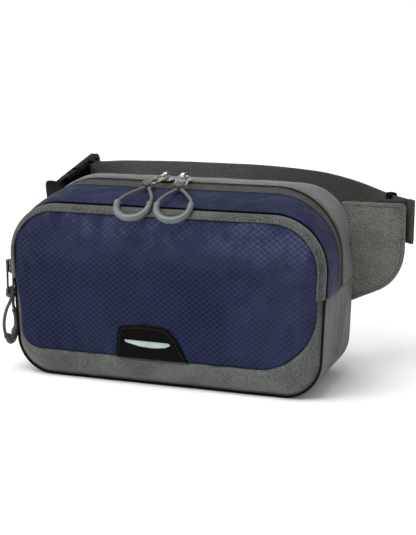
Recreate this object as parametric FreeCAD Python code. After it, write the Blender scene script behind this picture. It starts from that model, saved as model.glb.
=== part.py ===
"""Waist pack: two zipped compartments, two hip wings, a 38 mm belt and a side-release buckle.

Frame: millimetres, +Z up, the front face looks along -Y, the wearer's body is at +Y.
The origin is the centre of the flat base that the bag stands on.
Each function below builds one sub-part or one group of repeated sub-parts.
"""

import FreeCAD, Part  # noqa: E401  FreeCAD has to be first

import math
import os

V = FreeCAD.Vector

# --- driving dimensions -------------------------------------------------------------------------
WIDTH = 280.0  # across the front seam at its top
DEPTH = 92.0  # front seam to back seam
FRONT_HEIGHT = 149.0  # top of the front pocket's seam
TOP_HEIGHT = 164.5  # top of the main zip line
BACK_HEIGHT = 162.5  # top of the back seam
TAPER = 0.04  # how much narrower the outline is at the base, as a share of its width
FRONT_CORNER = 44.0  # top corner radius at the front seam
ZIP_CORNER = 58.0  # top corner radius at the main zip
BACK_CORNER = 39.0  # top corner radius at the back seam
BASE_CORNER = 33.0  # bottom corner radius, the same all the way through
BASE_TRIM = 0.05  # how much of the bottom gusset's curved underside is cut off to a true flat face
FABRIC = 1.6  # coated fabric with its lining
SEAM_HEIGHT = 84.0  # where the upper gussets meet the bottom gusset
WEBBING = 38.0  # belt webbing width
WEB_THICK = 1.6  # belt webbing thickness

# --- depths of the seams, from front to back ----------------------------------------------------
FRONT_Y = -DEPTH / 2
BACK_Y = DEPTH / 2
POCKET_COIL_BACK_Y = FRONT_Y + 2.6
DIVIDER_Y = -39.0  # the inner wall's front face, sewn to the gusset behind the pocket's zip
ZIP_Y = 5.0  # the main zip's coil line
FRONT_TAPE_Y = -10.0  # where the blue strip ends and the main zip's front tape begins
COIL_HALF = 1.4  # half the width of the main zip's coil
REAR_TAPE_BACK_Y = ZIP_Y + 4.0
BIG = 400.0  # larger than the whole object, for cutting boxes

# --- front face ---------------------------------------------------------------------------------
BAND = 6.3  # the grey band round the front face
PIPING_R = 1.6
CROWN = ((0.0, 2 * PIPING_R), (4.0, 5.5), (7.5, 12.0), (9.5, 30.0))  # (forward of the seam, inset)
BLUE_BASE_Z = 24.0  # where the blue front panel meets the grey lower one
BLUE_BASE_CORNERS = (17.0, 46.0)  # at the foot, left and right
PATCH_THICK = 1.8
PATCH = ((-38.0, 24.3), (26.0, 24.3), (15.0, 44.5), (7.0, 51.8), (-13.0, 53.6), (-35.4, 51.4))  # its outline
PATCH_RADII = (0.0, 0.0, 9.0, 8.0, 22.0, 6.0)
SLOT = (  # a shallow bowl under a straight edge
    (-30.8, 39.7), (-29.6, 37.9), (-17.0, 34.9), (-5.0, 34.2), (6.0, 35.4), (11.2, 37.8), (9.0, 39.3)
)
SLOT_RADII = (0.7, 1.0, 9.0, 9.0, 5.0, 1.0, 1.0)

# --- back panel ---------------------------------------------------------------------------------
BACK_FOAM = 6.0
BACK_SKIN = 1.2

# --- hip wings ----------------------------------------------------------------------------------
WING_ROOT = (126.0, 45.3)  # plan position of the outer face at its hidden root
WING_REACH = 52.2  # root to the edge that the webbing is folded round
WING_TIP = {"right": 55.0, "left": 45.0}  # root to tip
WING_FALL = {"right": 1.0, "left": 13.0}  # how much lower the top edge is at the tip
WING_SWEEP = {"right": 16.7, "left": 35.0}  # degrees that each wing is folded back from straight out
WING_Z = (62.0, 147.5)
WING_CORNERS = (24.0, 34.0)  # radii of the two blunt corners in the lower edge
WING_LAYERS = (("outer", 0.0, 1.2), ("foam", 1.2, 2.9), ("lining", 2.9, 4.0))
WING_THICK = 4.0

# --- belt ---------------------------------------------------------------------------------------
BELT_TURN = (178.6, 66.5)  # where the belt folds round the wing's tip
BELT_SHOULDER = (140.0, 110.0)
BELT_REAR_RIGHT = (70.0, 144.5)
BELT_REAR_LEFT = (-112.0, 149.0)
BELT_TOP = (
    (190.0, 149.5), (146.0, 150.4), (125.0, 156.0), (92.0, 161.0), (20.0, 164.5), (-60.0, 164.5), (-190.0, 161.0)
)
BELT_RADII = (4.0, 60.0, 130.0)
LAYER_GAP = 0.25  # between two layers of webbing that lie together
TAIL_OVERHANG = 6.5  # how far the tail's hemmed end sticks out past BELT_TURN
KEEPER_AT = 29.0  # distance from BELT_TURN along the straight towards BELT_SHOULDER
KEEPER_WIDTH = 8.0
KEEPER_WALL = 1.2

# --- buckle, along its own axis from the bar of the socket ----------------------------------------
BUCKLE_FOOT = V(-160.0, 96.0, 125.0)  # centre of the socket's webbing bar
BUCKLE_END = V(-152.0, 162.0, 146.2)  # centre of the plug's far bar
LOOP_FOLD = 4.0  # how far the left loop runs on past the wing's tip before it turns to the buckle
BUCKLE_WIDTH = 48.0
SOCKET_LENGTH = 43.0
SOCKET_THICK = 11.0
CAVITY_HALF_WIDTH = 20.5
CAVITY_HALF_THICK = 3.7
PLUG_THICK = 6.0
BAR_R = 1.8
END_CORNER = 6.0  # radius of the ladder's outer corners
PRONG_SHIFT = 13.0  # the prongs' distance from the buckle's axis
PRONG_PIVOT = 41.0  # the prongs' root, along the axis

# --- zip sliders and pulls ------------------------------------------------------------------------
SLIDER_LENGTH = 13.0
SLIDER_WIDTH = 9.2
SLIDER_PLATE = 1.6
SLIDER_LIFT = 0.5  # upper plate above the coil
WIRE_R = 0.9  # half the wire ring's thickness
RING_HALF = 4.8  # half the ring's width, to the middle of its wire
RING_AXIS = 2.4  # the ring's wire above the upper plate
BRIDGE_BAR = 1.8
RING_REACH = 22.7  # slider to the middle of the hitch
RING_END = 21.7  # slider to the ring's far bar, which the cord is hitched round
LEG_REACH = 36.0  # hitch to the line between the grip's tips, on the main pulls
GRIP_REACH = 16.8  # the grip's tips to its bottom
GRIP_R = 3.1
GRIP_HALF = 14.0
CORD_R = 1.4
WRAP = 2.35  # ring's bar to the middle of the cord hitched round it
MAIN_SLIDER_X = (-17.0, -1.0)
MAIN_SLOPES = (12.0, 17.0, 42.0)  # of the ring, the cord's legs and the grip, under level
MAIN_YAWS = ((-21.0, 2.3, 2.3), (12.1, 13.2, 6.0))  # of the same three, for the left and the right pull
POCKET_SLIDER_Z = 92.0
POCKET_GRIP_AT = (3.0, 49.4)  # across and along the hanging pull, the middle between its grip's tips
POCKET_LEAN = 40.0  # degrees that the hanging grip is turned in its own plane
# The cord from a grip's tip to the hitch, then under the ring's bar, round it, and on to the hitch's cross strand:
# across the pull, along it from the slider, and out of it.
MAIN_LEG = ((13.3, 51.6, 0.0), (8.6, 41.5, 0.0), (3.8, 31.5, -1.0))
POCKET_LEGS = (
    ((17.2, 53.6, 0.0), (17.5, 44.5, 0.0), (11.5, 36.0, 0.0), (4.2, 30.5, -1.0)),
    ((4.5, 36.6, 0.0), (2.2, 31.5, -1.0)),
)
HITCH = (
    (1.5, 26.2, -1.7),
    (1.5, RING_END - WRAP, -WRAP),
    (2.2, RING_END - WRAP, WRAP),
    (2.4, RING_END + 5.0, 1.5),
)


# --- plane figures --------------------------------------------------------------------------------
def rounded_edges(points, radii, closed=True):
    """Straight edges through points, with a tangent arc of the given radius at each corner."""
    count = len(points)
    corners = []
    for i, point in enumerate(points):
        radius = radii[i]
        at_end = not closed and i in (0, count - 1)
        if at_end or radius <= 0:
            corners.append((point, None, point))
            continue
        back = (points[i - 1] - point).normalize()
        ahead = (points[(i + 1) % count] - point).normalize()
        half = back.getAngle(ahead) / 2
        middle = (back + ahead).normalize()
        reach = radius / math.tan(half)
        centre = point + middle * (radius / math.sin(half))
        corners.append((point + back * reach, centre - middle * radius, point + ahead * reach))
    edges = []
    for i in range(count if closed else count - 1):
        leave = corners[i][2]
        arrive = corners[(i + 1) % count][0]
        if leave.distanceToPoint(arrive) > 1e-6:
            edges.append(Part.LineSegment(leave, arrive).toShape())
        first, mid, last = corners[(i + 1) % count]
        if mid is not None:
            edges.append(Part.Arc(first, mid, last).toShape())
    return edges


def outline(y, height, corner, inset=0.0):
    """The bag's rounded outline at depth y, as a closed wire, drawn in by inset."""
    top = WIDTH / 2 - inset
    base = WIDTH / 2 * (1 - TAPER) - inset
    points = [V(-base, y, inset), V(base, y, inset), V(top, y, height - inset), V(-top, y, height - inset)]
    low = max(BASE_CORNER - inset, 3.0)
    high = max(corner - inset, 3.0)
    return Part.Wire(rounded_edges(points, [low, low, high, high]))


def prism(points, radii, direction):
    """A prism on the rounded polygon, swept along direction."""
    return Part.Face(Part.Wire(rounded_edges(points, radii))).extrude(direction)


def slab(y0, y1, z0, z1):
    """A wide box that keeps what lies between two depths and two heights."""
    return Part.makeBox(2 * BIG, y1 - y0, z1 - z0, V(-BIG, y0, z0))


# --- the bag's walls ------------------------------------------------------------------------------
def body_loft(inset, overrun=0.0):
    """The solid inside the bag's outline from the front seam to the back seam."""
    sections = [
        outline(FRONT_Y - overrun, FRONT_HEIGHT, FRONT_CORNER, inset),
        outline(FRONT_Y, FRONT_HEIGHT, FRONT_CORNER, inset),
        outline(ZIP_Y, TOP_HEIGHT, ZIP_CORNER, inset),
        outline(BACK_Y, BACK_HEIGHT, BACK_CORNER, inset),
        outline(BACK_Y + overrun, BACK_HEIGHT, BACK_CORNER, inset),
    ]
    return Part.makeLoft(sections if overrun else sections[1:-1], True, True)


def wall(y0, y1, z0, z1, recess=0.0, thick=FABRIC):
    """A strip of the bag's wall between two depths and two heights."""
    tube = body_loft(recess).cut(body_loft(recess + thick, 1.0))
    return tube.common(slab(y0, y1, z0, z1))


def bottom_gusset():
    """The bottom gusset, which the bag stands on: its underside is a plane at the frame's zero height."""
    strip = wall(FRONT_Y, BACK_Y, -1.0, SEAM_HEIGHT + BASE_TRIM)
    strip.translate(V(0, 0, -BASE_TRIM))
    return strip.common(slab(FRONT_Y, BACK_Y, 0.0, SEAM_HEIGHT))


def gussets():
    """Every strip of the wall, by name."""
    high = (SEAM_HEIGHT, BIG)
    return {
        "pocket_zip_coil": wall(FRONT_Y, POCKET_COIL_BACK_Y, *high, recess=0.9),
        "divider_gusset": wall(POCKET_COIL_BACK_Y, FRONT_TAPE_Y, *high),
        "main_zip_front_tape": wall(FRONT_TAPE_Y, ZIP_Y - COIL_HALF, *high, recess=0.2, thick=1.2),
        "main_zip_coil": wall(ZIP_Y - COIL_HALF, ZIP_Y + COIL_HALF, *high),
        "main_zip_rear_tape": wall(ZIP_Y + COIL_HALF, REAR_TAPE_BACK_Y, *high, recess=0.2, thick=1.2),
        "rear_gusset": wall(REAR_TAPE_BACK_Y, BACK_Y, *high),
        "bottom_gusset": bottom_gusset(),
    }


def inner_divider():
    """The fabric wall between the main compartment and the front pocket."""
    face = Part.Face(outline(DIVIDER_Y, FRONT_HEIGHT, FRONT_CORNER, FABRIC + 0.05))
    return face.extrude(V(0, 1.0, 0))


def crown_solid(shift=0.0, swell=0.0):
    """The solid under the front face's crowned surface, moved back by shift or swollen by swell."""
    sections = []
    for forward, inset in CROWN:
        y = FRONT_Y - forward + shift - (swell if forward else 0.0)
        sections.append(outline(y, FRONT_HEIGHT, FRONT_CORNER, inset + shift - swell))
    return Part.makeLoft(sections, True, True)


def blue_region():
    """The prism that cuts the blue panel out of the crowned front."""
    top = WIDTH / 2 - BAND
    base = WIDTH / 2 * (1 - TAPER) - BAND
    high = FRONT_HEIGHT - BAND
    points = [V(-base, -20, BLUE_BASE_Z), V(base, -20, BLUE_BASE_Z), V(top, -20, high), V(-top, -20, high)]
    corner = FRONT_CORNER - BAND
    return prism(points, [*BLUE_BASE_CORNERS, corner, corner], V(0, -60, 0))


def front_panels():
    """The blue panel and the grey lower panel of the crowned front."""
    shell = crown_solid().cut(crown_solid(FABRIC)).common(slab(-80, FRONT_Y, -1, BIG))
    blue = blue_region()
    return {
        "front_panel_blue": shell.common(blue),
        "front_panel_base": shell.cut(blue).common(slab(-80, FRONT_Y, -1, SEAM_HEIGHT)),
    }


def pocket_band():
    """The grey band that frames the front face above the seam height."""
    outer = ((0.0, 0.0), (3.0, 0.5), (4.8, 2.5))
    inner = ((-1.0, FABRIC), (3.0, FABRIC + 0.3), (3.2, FABRIC + 2.5))
    sides = []
    for profile in (outer, inner):
        rings = [outline(FRONT_Y - out, FRONT_HEIGHT, FRONT_CORNER, inset) for out, inset in profile]
        sides.append(Part.makeLoft(rings, True, True))
    band = sides[0].cut(sides[1])
    return band.cut(blue_region()).common(slab(-80, FRONT_Y, SEAM_HEIGHT, BIG))


def front_piping():
    """The corded piping in the front seam, under the seam height."""
    inset = PIPING_R
    slope = WIDTH / 2 * TAPER / FRONT_HEIGHT
    top = WIDTH / 2 * (1 - TAPER) - inset + slope * SEAM_HEIGHT
    base = WIDTH / 2 * (1 - TAPER) - inset
    y = FRONT_Y - PIPING_R
    points = [V(top, y, SEAM_HEIGHT), V(base, y, inset), V(-base, y, inset), V(-top, y, SEAM_HEIGHT)]
    path = Part.Wire(rounded_edges(points, [0, BASE_CORNER - inset, BASE_CORNER - inset, 0], False))
    profile = Part.Wire(Part.makeCircle(PIPING_R, points[0], points[1] - points[0]))
    return path.makePipeShell([profile], True, False)


def light_patch():
    """The moulded patch at the front's foot, with the slot that a clip light hooks into."""
    skin = crown_solid(0, PATCH_THICK).cut(crown_solid())
    region = prism([V(x, -40, z) for x, z in PATCH], PATCH_RADII, V(0, -40, 0))
    slot = prism([V(x, -40, z) for x, z in SLOT], SLOT_RADII, V(0, -40, 0))
    face = crown_solid(0, 0.5).cut(crown_solid())
    return {
        "light_patch": skin.common(region).cut(slot),
        "light_patch_strip": face.common(slot),
    }


def back_panel():
    """The padded back: a foam pad under an outer skin of spacer mesh."""
    def pad(y_end, inset):
        return Part.makeLoft(
            [
                outline(BACK_Y, BACK_HEIGHT, BACK_CORNER, inset),
                outline(y_end - 2.0, BACK_HEIGHT, BACK_CORNER, inset + 1.0),
                outline(y_end, BACK_HEIGHT, BACK_CORNER, inset + 5.0),
            ],
            True,
            True,
        )

    whole = pad(BACK_Y + BACK_FOAM, 0.0)
    foam = pad(BACK_Y + BACK_FOAM - BACK_SKIN, BACK_SKIN)
    return {"back_panel_mesh": whole.cut(foam), "back_foam": foam}


# --- hip wings ------------------------------------------------------------------------------------
def wing_plan(side, along, depth):
    """Plan position on a wing: along from its root, and depth in from its outer face."""
    sweep = math.radians(WING_SWEEP[side])
    x = WING_ROOT[0] + along * math.cos(sweep) - depth * math.sin(sweep)
    y = WING_ROOT[1] + along * math.sin(sweep) + depth * math.cos(sweep)
    return V(x if side == "right" else -x, y, 0)


def wing_layers(side, bag):
    """The wing's outer fabric, foam and lining, cut clear of the bag."""
    low, high = WING_Z
    tip = WING_TIP[side]
    top = high - WING_FALL[side]
    ring = ((0, low - 4), (0.72 * tip, low + 15.5), (tip, low + 42), (tip, top), (0, high + 1))
    made = {}
    for name, near, far in WING_LAYERS:
        points = [wing_plan(side, along, near) + V(0, 0, z) for along, z in ring]
        step = wing_plan(side, 0, far) - wing_plan(side, 0, near)
        made[f"wing_{side}_{name}"] = prism(points, [0, *WING_CORNERS, 2.5, 0], step).cut(bag)
    return made


# --- webbing --------------------------------------------------------------------------------------
def offset_points(points, distance):
    """A plan polyline moved sideways, to its left for a positive distance, with mitred corners."""
    moved = []
    for i, point in enumerate(points):
        sides = []
        for a, b in ((i - 1, i), (i, i + 1)):
            if 0 <= a and b < len(points):
                run = (points[b] - points[a]).normalize()
                sides.append(V(-run.y, run.x, 0))
        normal = (sides[0] + sides[-1]).normalize()
        moved.append(point + normal * (distance / normal.dot(sides[0])))
    return moved


def strap(points, radii, near, far):
    """A tall wall that follows a plan polyline, between two sideways offsets of it."""
    sides = []
    for distance in (near, far):
        line = offset_points(points, distance)
        turned = []
        for i, radius in enumerate(radii):
            if not 0 < i < len(points) - 1:
                turned.append(0)
                continue
            before, after = points[i] - points[i - 1], points[i + 1] - points[i]
            left = before.cross(after).z > 0
            turned.append(radius - distance if left else radius + distance)
        sides.append(rounded_edges(line, turned, False))
    first, last = sides
    start = Part.LineSegment(last[0].Vertexes[0].Point, first[0].Vertexes[0].Point).toShape()
    end = Part.LineSegment(first[-1].Vertexes[-1].Point, last[-1].Vertexes[-1].Point).toShape()
    edges = Part.__sortEdges__([*first, end, *last, start])
    return Part.Face(Part.Wire(edges)).extrude(V(0, 0, 300))


def belt_top_at(x):
    """The height of the belt's top edge at x."""
    for (x0, z0), (x1, z1) in zip(BELT_TOP, BELT_TOP[1:]):
        if x1 <= x <= x0:
            return z0 + (z1 - z0) * (x - x0) / (x1 - x0)
    return BELT_TOP[-1][1]


def belt_band():
    """A band WEBBING high whose top edge follows BELT_TOP, seen from the front."""
    top = [V(x, -BIG, z) for x, z in BELT_TOP]
    base = [V(x, -BIG, z - WEBBING) for x, z in reversed(BELT_TOP)]
    ring = top + base
    return prism(ring, [0] * len(ring), V(0, 2 * BIG, 0))


def belt_plan():
    """The belt's middle line in plan, from its sewn end on the right wing to the buckle."""
    sewn = WING_THICK + 0.2 + WEB_THICK / 2
    start = wing_plan("right", WING_REACH - 26, sewn)
    rest = [BELT_TURN, BELT_SHOULDER, BELT_REAR_RIGHT, BELT_REAR_LEFT]
    return [start, *(V(x, y, 0) for x, y in rest)]


def belt():
    """The belt's main run and its free tail, which lies on the outside of it."""
    half = WEB_THICK / 2
    run = strap(belt_plan(), [0, *BELT_RADII, 0], -half, half)
    outside = -(half + LAYER_GAP)
    turn, shoulder, *rest = belt_plan()[1:]
    tip = turn + (turn - shoulder).normalize() * TAIL_OVERHANG
    tail = strap([tip, shoulder, *rest], [0, *BELT_RADII[1:], 0], outside, outside - WEB_THICK)
    band = belt_band()
    return {"belt_webbing": run.common(band), "belt_tail": tail.common(band)}


def keeper_frame():
    """The keeper's centre and the direction along the belt there."""
    turn, shoulder = V(*BELT_TURN, 0), V(*BELT_SHOULDER, 0)
    along = (shoulder - turn).normalize()
    return turn + along * KEEPER_AT, along


def belt_keeper():
    """The elastic loop round the belt and its tail."""
    centre, along = keeper_frame()
    across = V(along.y, -along.x, 0)
    middle = (WEB_THICK + LAYER_GAP) / 2
    z_mid = BELT_TOP[0][1] + 0.4 - WEBBING / 2
    inner = (2 * WEB_THICK + LAYER_GAP + 1.6, WEBBING + 2.6)
    outer = (inner[0] + 2 * KEEPER_WALL, inner[1] + 2 * KEEPER_WALL)

    def block(size, length):
        box = Part.makeBox(length, size[0], size[1], V(-length / 2, -size[0] / 2, -size[1] / 2))
        turn = FreeCAD.Rotation(V(1, 0, 0), along)
        box.Placement = FreeCAD.Placement(centre + across * middle + V(0, 0, z_mid), turn)
        return box

    return block(outer, KEEPER_WIDTH).cut(block(inner, KEEPER_WIDTH + 2))


# --- buckle ---------------------------------------------------------------------------------------
def buckle_axes():
    """Along, across (upwards) and through the buckle."""
    along = (BUCKLE_END - BUCKLE_FOOT).normalize()
    across = (V(0, 0, 1) - along * along.z).normalize()
    return along, across, along.cross(across)


def in_buckle(shape):
    """Moves a shape from buckle coordinates (along, across, through) to its place."""
    along, across, through = buckle_axes()
    rotation = FreeCAD.Rotation(along, across, through, "XYZ")
    shape.Placement = FreeCAD.Placement(BUCKLE_FOOT, rotation)
    return shape


def block(a0, a1, half_width, half_thick, shift=0.0):
    """A box in buckle coordinates, centred on the axis or shifted across it."""
    return Part.makeBox(
        a1 - a0, 2 * half_width, 2 * half_thick, V(a0, shift - half_width, -half_thick)
    )


def round_block(a0, a1, half_width, half_thick, radius):
    """A box in buckle coordinates with all its edges along the axis rounded."""
    box = block(a0, a1, half_width, half_thick)
    edges = [e for e in box.Edges if abs(e.tangentAt(0).x) > 0.9]
    return box.makeFillet(radius, edges)


def inside_plan(shape, a0, a1, near_radius, far_radius):
    """The part of a shape in buckle coordinates that lies inside a rounded outline as wide as the buckle."""
    half = BUCKLE_WIDTH / 2
    points = [V(a0, -half, -BIG), V(a1, -half, -BIG), V(a1, half, -BIG), V(a0, half, -BIG)]
    return shape.common(prism(points, [near_radius, far_radius, far_radius, near_radius], V(0, 0, 2 * BIG)))


def bar(at, radius=BAR_R):
    """A round bar across the buckle."""
    half = BUCKLE_WIDTH / 2 - 1
    return Part.makeCylinder(radius, 2 * half, V(at, -half, 0), V(0, 1, 0))


def buckle_socket():
    """The female half: a flat shell with side windows and a webbing bar."""
    half = BUCKLE_WIDTH / 2
    shell = round_block(9, SOCKET_LENGTH, half, SOCKET_THICK / 2, 3.5)
    shell = shell.cut(block(13, SOCKET_LENGTH + 5, CAVITY_HALF_WIDTH, CAVITY_HALF_THICK))
    shell = shell.cut(block(18, 31, half + 5, CAVITY_HALF_THICK))
    cheeks = block(-2.5, 10, 2.2, 2.6, half - 2.2).fuse(block(-2.5, 10, 2.2, 2.6, 2.2 - half))
    cheeks = inside_plan(cheeks, -2.5, 20, 3.4, 0)
    return in_buckle(shell.fuse(cheeks).fuse(bar(0)).removeSplitter())


def buckle_plug():
    """The male half: flange, guide tongue and the ladder that the belt threads through."""
    half = BUCKLE_WIDTH / 2
    end = (BUCKLE_END - BUCKLE_FOOT).Length
    start = SOCKET_LENGTH + 0.3
    flange = round_block(start, start + 4, half, SOCKET_THICK / 2, 3.5)
    frame = inside_plan(block(start + 4, end + 2, half, PLUG_THICK / 2), start, end + 2, 0, END_CORNER)
    frame = frame.cut(block(start + 8, end - 2.2, WEBBING / 2 + 0.8, PLUG_THICK))
    middle_bar = block(end - 14, end - 10.4, half - 1, 1.4)
    tongue = block(17, start, 3.5, 2.2)
    return in_buckle(flange.fuse([frame, middle_bar, tongue]).removeSplitter())


def buckle_prong(side):
    """One springy latch arm of the plug, with the ear that shows in the socket's window."""
    arm = block(20, PRONG_PIVOT, 2.0, 2.9, side * PRONG_SHIFT)
    root = Part.makeCylinder(2.0, 5.8, V(PRONG_PIVOT, side * PRONG_SHIFT, -2.9), V(0, 0, 1))
    inner, outer = PRONG_SHIFT - 2, BUCKLE_WIDTH / 2 - 0.8
    ear = [V(19, side * inner, -2.9), V(21, side * outer, -2.9), V(30, side * outer, -2.9), V(33, side * inner, -2.9)]
    tip = prism(ear, [0, 1.5, 1.0, 0], V(0, 0, 5.8))
    return in_buckle(arm.fuse([root, tip]).removeSplitter())


def ribbon(stations):
    """A strip of webbing through stations, each a centre, an upward and a sideways direction."""
    sections = []
    for centre, upward, sideways in stations:
        rise, step = upward * (WEBBING / 2), sideways * (WEB_THICK / 2)
        corners = [centre + rise + step, centre + rise - step, centre - rise - step, centre - rise + step]
        sections.append(Part.makePolygon([*corners, corners[0]]))
    return Part.makeLoft(sections, True, True)


def belt_lead():
    """The belt's last stretch: in through the ladder, round its middle bar and out again as the tail."""
    along, across, through = buckle_axes()
    middle = (BUCKLE_END - BUCKLE_FOOT).Length - 12.2
    reach = 2.5 + WEB_THICK
    half = WEBBING / 2
    ring = Part.makeCylinder(reach, WEBBING, V(middle, -half, -1.0), V(0, 1, 0))
    ring = ring.cut(Part.makeCylinder(2.5, WEBBING + 2, V(middle, -half - 1, -1.0), V(0, 1, 0)))
    ring = in_buckle(ring.common(Part.makeBox(20, 60, 20, V(middle - 10, -30, -21.0))))
    before, last = belt_plan()[-2:]
    run = (last - before).normalize()
    sideways = V(run.y, -run.x, 0)
    z_mid = belt_top_at(last.x) - half
    parts = [ring]
    for shift, outside in ((-1, 0), (1, WEB_THICK + LAYER_GAP)):
        start = V(last.x, last.y, z_mid) + sideways * outside
        stop = BUCKLE_FOOT + along * (middle + shift * (reach - WEB_THICK / 2)) - through
        near = stop + through * 12
        parts.append(ribbon([(start, V(0, 0, 1), sideways), (near, across, along), (stop, across, along)]))
    return parts[0].fuse(parts[1:]).removeSplitter()


def wing_loop_left():
    """The doubled webbing that ties the left wing's tip to the socket's bar."""
    sewn = WING_THICK + 0.2 + WEB_THICK
    start = wing_plan("left", WING_REACH - 26, sewn)
    turn = wing_plan("left", WING_REACH + LOOP_FOLD, sewn)
    stop = V(BUCKLE_FOOT.x, BUCKLE_FOOT.y, 0)
    z_low = BUCKLE_FOOT.z - WEBBING / 2
    run = strap([start, turn, stop], [0, 4.0, 0], -WEB_THICK, WEB_THICK)
    run = run.common(slab(-BIG, BIG, z_low, z_low + WEBBING))
    eye = in_buckle(Part.makeCylinder(BAR_R + 2.0, WEBBING, V(0, -WEBBING / 2, 0), V(0, 1, 0)))
    return run.fuse(eye).cut(in_buckle(bar(0, BAR_R + 0.15))).removeSplitter()


# --- zip sliders and pulls ------------------------------------------------------------------------
def placed(shape, origin, across, along, out):
    """Moves a shape from local axes (across the pull, along the zip pull, out of the surface) to its place."""
    shape.Placement = FreeCAD.Placement(origin, FreeCAD.Rotation(across, along, out, "XYZ"))
    return shape


def slider(origin, across, along, out, length_across, under):
    """A zip slider seen along its pull: upper plate, bridge, and the lower plate inside the bag."""
    wide, deep = (SLIDER_LENGTH, SLIDER_WIDTH) if length_across else (SLIDER_WIDTH, SLIDER_LENGTH)
    plate = Part.makeBox(wide, deep, SLIDER_PLATE, V(-wide / 2, -deep / 2, SLIDER_LIFT))
    upright = [e for e in plate.Edges if abs(e.tangentAt(0).z) > 0.9]
    plate = plate.makeFillet(2.6, upright)
    top = SLIDER_LIFT + SLIDER_PLATE
    span = deep - 1.6
    height = RING_AXIS + WIRE_R + 0.3 + BRIDGE_BAR
    bridge = Part.makeBox(3.0, span, height, V(-1.5, -span / 2, top))
    window = Part.makeBox(4.0, span - 3.4, height - BRIDGE_BAR, V(-2.0, -span / 2 + 1.7, top))
    crown = [e for e in bridge.Edges if abs(e.tangentAt(0).x) > 0.9 and e.CenterOfMass.z > top + 1]
    bridge = bridge.makeFillet(1.6, crown).cut(window)
    upper = plate.fuse(bridge).removeSplitter()
    inside = min(wide, SLIDER_WIDTH - 2.4), min(deep, SLIDER_WIDTH - 2.4)
    if wide > deep:
        inside = wide, inside[1]
    else:
        inside = inside[0], deep
    lower = Part.makeBox(*inside, 1.4, V(-inside[0] / 2, -inside[1] / 2, -under - 1.4))
    return placed(Part.makeCompound([upper, lower]), origin, across, along, out)


def tube(points, radius):
    """A round tube on straight runs joined by tangent arcs, as large as the runs allow."""
    radii = [0.0]
    for before, here, after in zip(points, points[1:], points[2:]):
        turn = (here - before).getAngle(after - here)
        shorter = min(here.distanceToPoint(before), after.distanceToPoint(here))
        radii.append(0.45 * shorter / math.tan(turn / 2))
    radii.append(0.0)
    print("arc radii of a cord:", [round(r, 1) for r in radii[1:-1]])
    path = Part.Wire(rounded_edges(points, radii, False))
    profile = Part.Wire(Part.makeCircle(radius, points[0], points[1] - points[0]))
    return path.makePipeShell([profile], True, False)


class Spine:
    """The line that a pull follows: straight stretches, each with its own slope under level and its own yaw."""

    def __init__(self, origin, across, ahead, up, slopes, yaws):
        self.origin = origin
        self.stretches = []
        for length, slope, yaw in zip((RING_REACH, LEG_REACH, GRIP_REACH + 10), slopes, yaws):
            turn, drop = math.radians(yaw), math.radians(slope)
            level = ahead * math.cos(turn) + across * math.sin(turn)
            side = across * math.cos(turn) - ahead * math.sin(turn)
            run = level * math.cos(drop) - up * math.sin(drop)
            self.stretches.append((length, side, run, level * math.sin(drop) + up * math.cos(drop)))

    def at(self, u, v, h=0.0):
        """The point u across the pull, v along it and h out of it."""
        point, left = self.origin, v
        for length, side, run, normal in self.stretches:
            if left < length - 1e-6:
                break
            point, left = point + run * length, left - length
        return point + run * left + normal * h + side * u


def pull(name, spine, middle, lean, legs):
    """The wire ring, the cord hitched round it and the moulded grip of one zip pull."""
    corners = [(-RING_HALF, 0), (RING_HALF, 0), (RING_HALF, RING_END), (-RING_HALF, RING_END)]
    path = Part.Wire(rounded_edges([spine.at(u, v) for u, v in corners], [2.2, 2.2, 2.4, 2.4]))
    start = path.Edges[0]
    tangent = start.tangentAt(start.FirstParameter)
    profile = Part.Wire(Part.makeCircle(WIRE_R, start.Vertexes[0].Point, tangent))
    ring = path.makePipeShell([profile], True, False)
    cos, sin = math.cos(math.radians(lean)), math.sin(math.radians(lean))
    line = []
    for u, v in ((GRIP_HALF, 0), (GRIP_HALF, GRIP_REACH), (-GRIP_HALF, GRIP_REACH), (-GRIP_HALF, 0)):
        line.append(spine.at(middle[0] + u * cos - v * sin, middle[1] + u * sin + v * cos))
    half_routes = []
    for side, leg, tip in ((1, legs[0], line[0]), (-1, legs[1], line[-1])):
        half_routes.append([tip, *(spine.at(side * u, v, h) for u, v, h in (*leg, *HITCH))])
    cord = tube([*half_routes[0], *reversed(half_routes[1])], CORD_R)
    path = Part.Wire(rounded_edges(line, [0, GRIP_HALF - 0.5, GRIP_HALF - 0.5, 0], False))
    profile = Part.Wire(Part.makeCircle(GRIP_R, line[0], line[1] - line[0]))
    grip = path.makePipeShell([profile], True, False)
    return {name + "_ring": ring, name + "_cord": cord, name + "_grip": grip}


def side_x(z):
    """Half the bag's width at height z on the front seam's straight side."""
    return WIDTH / 2 * (1 - TAPER * (1 - z / FRONT_HEIGHT))


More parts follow.
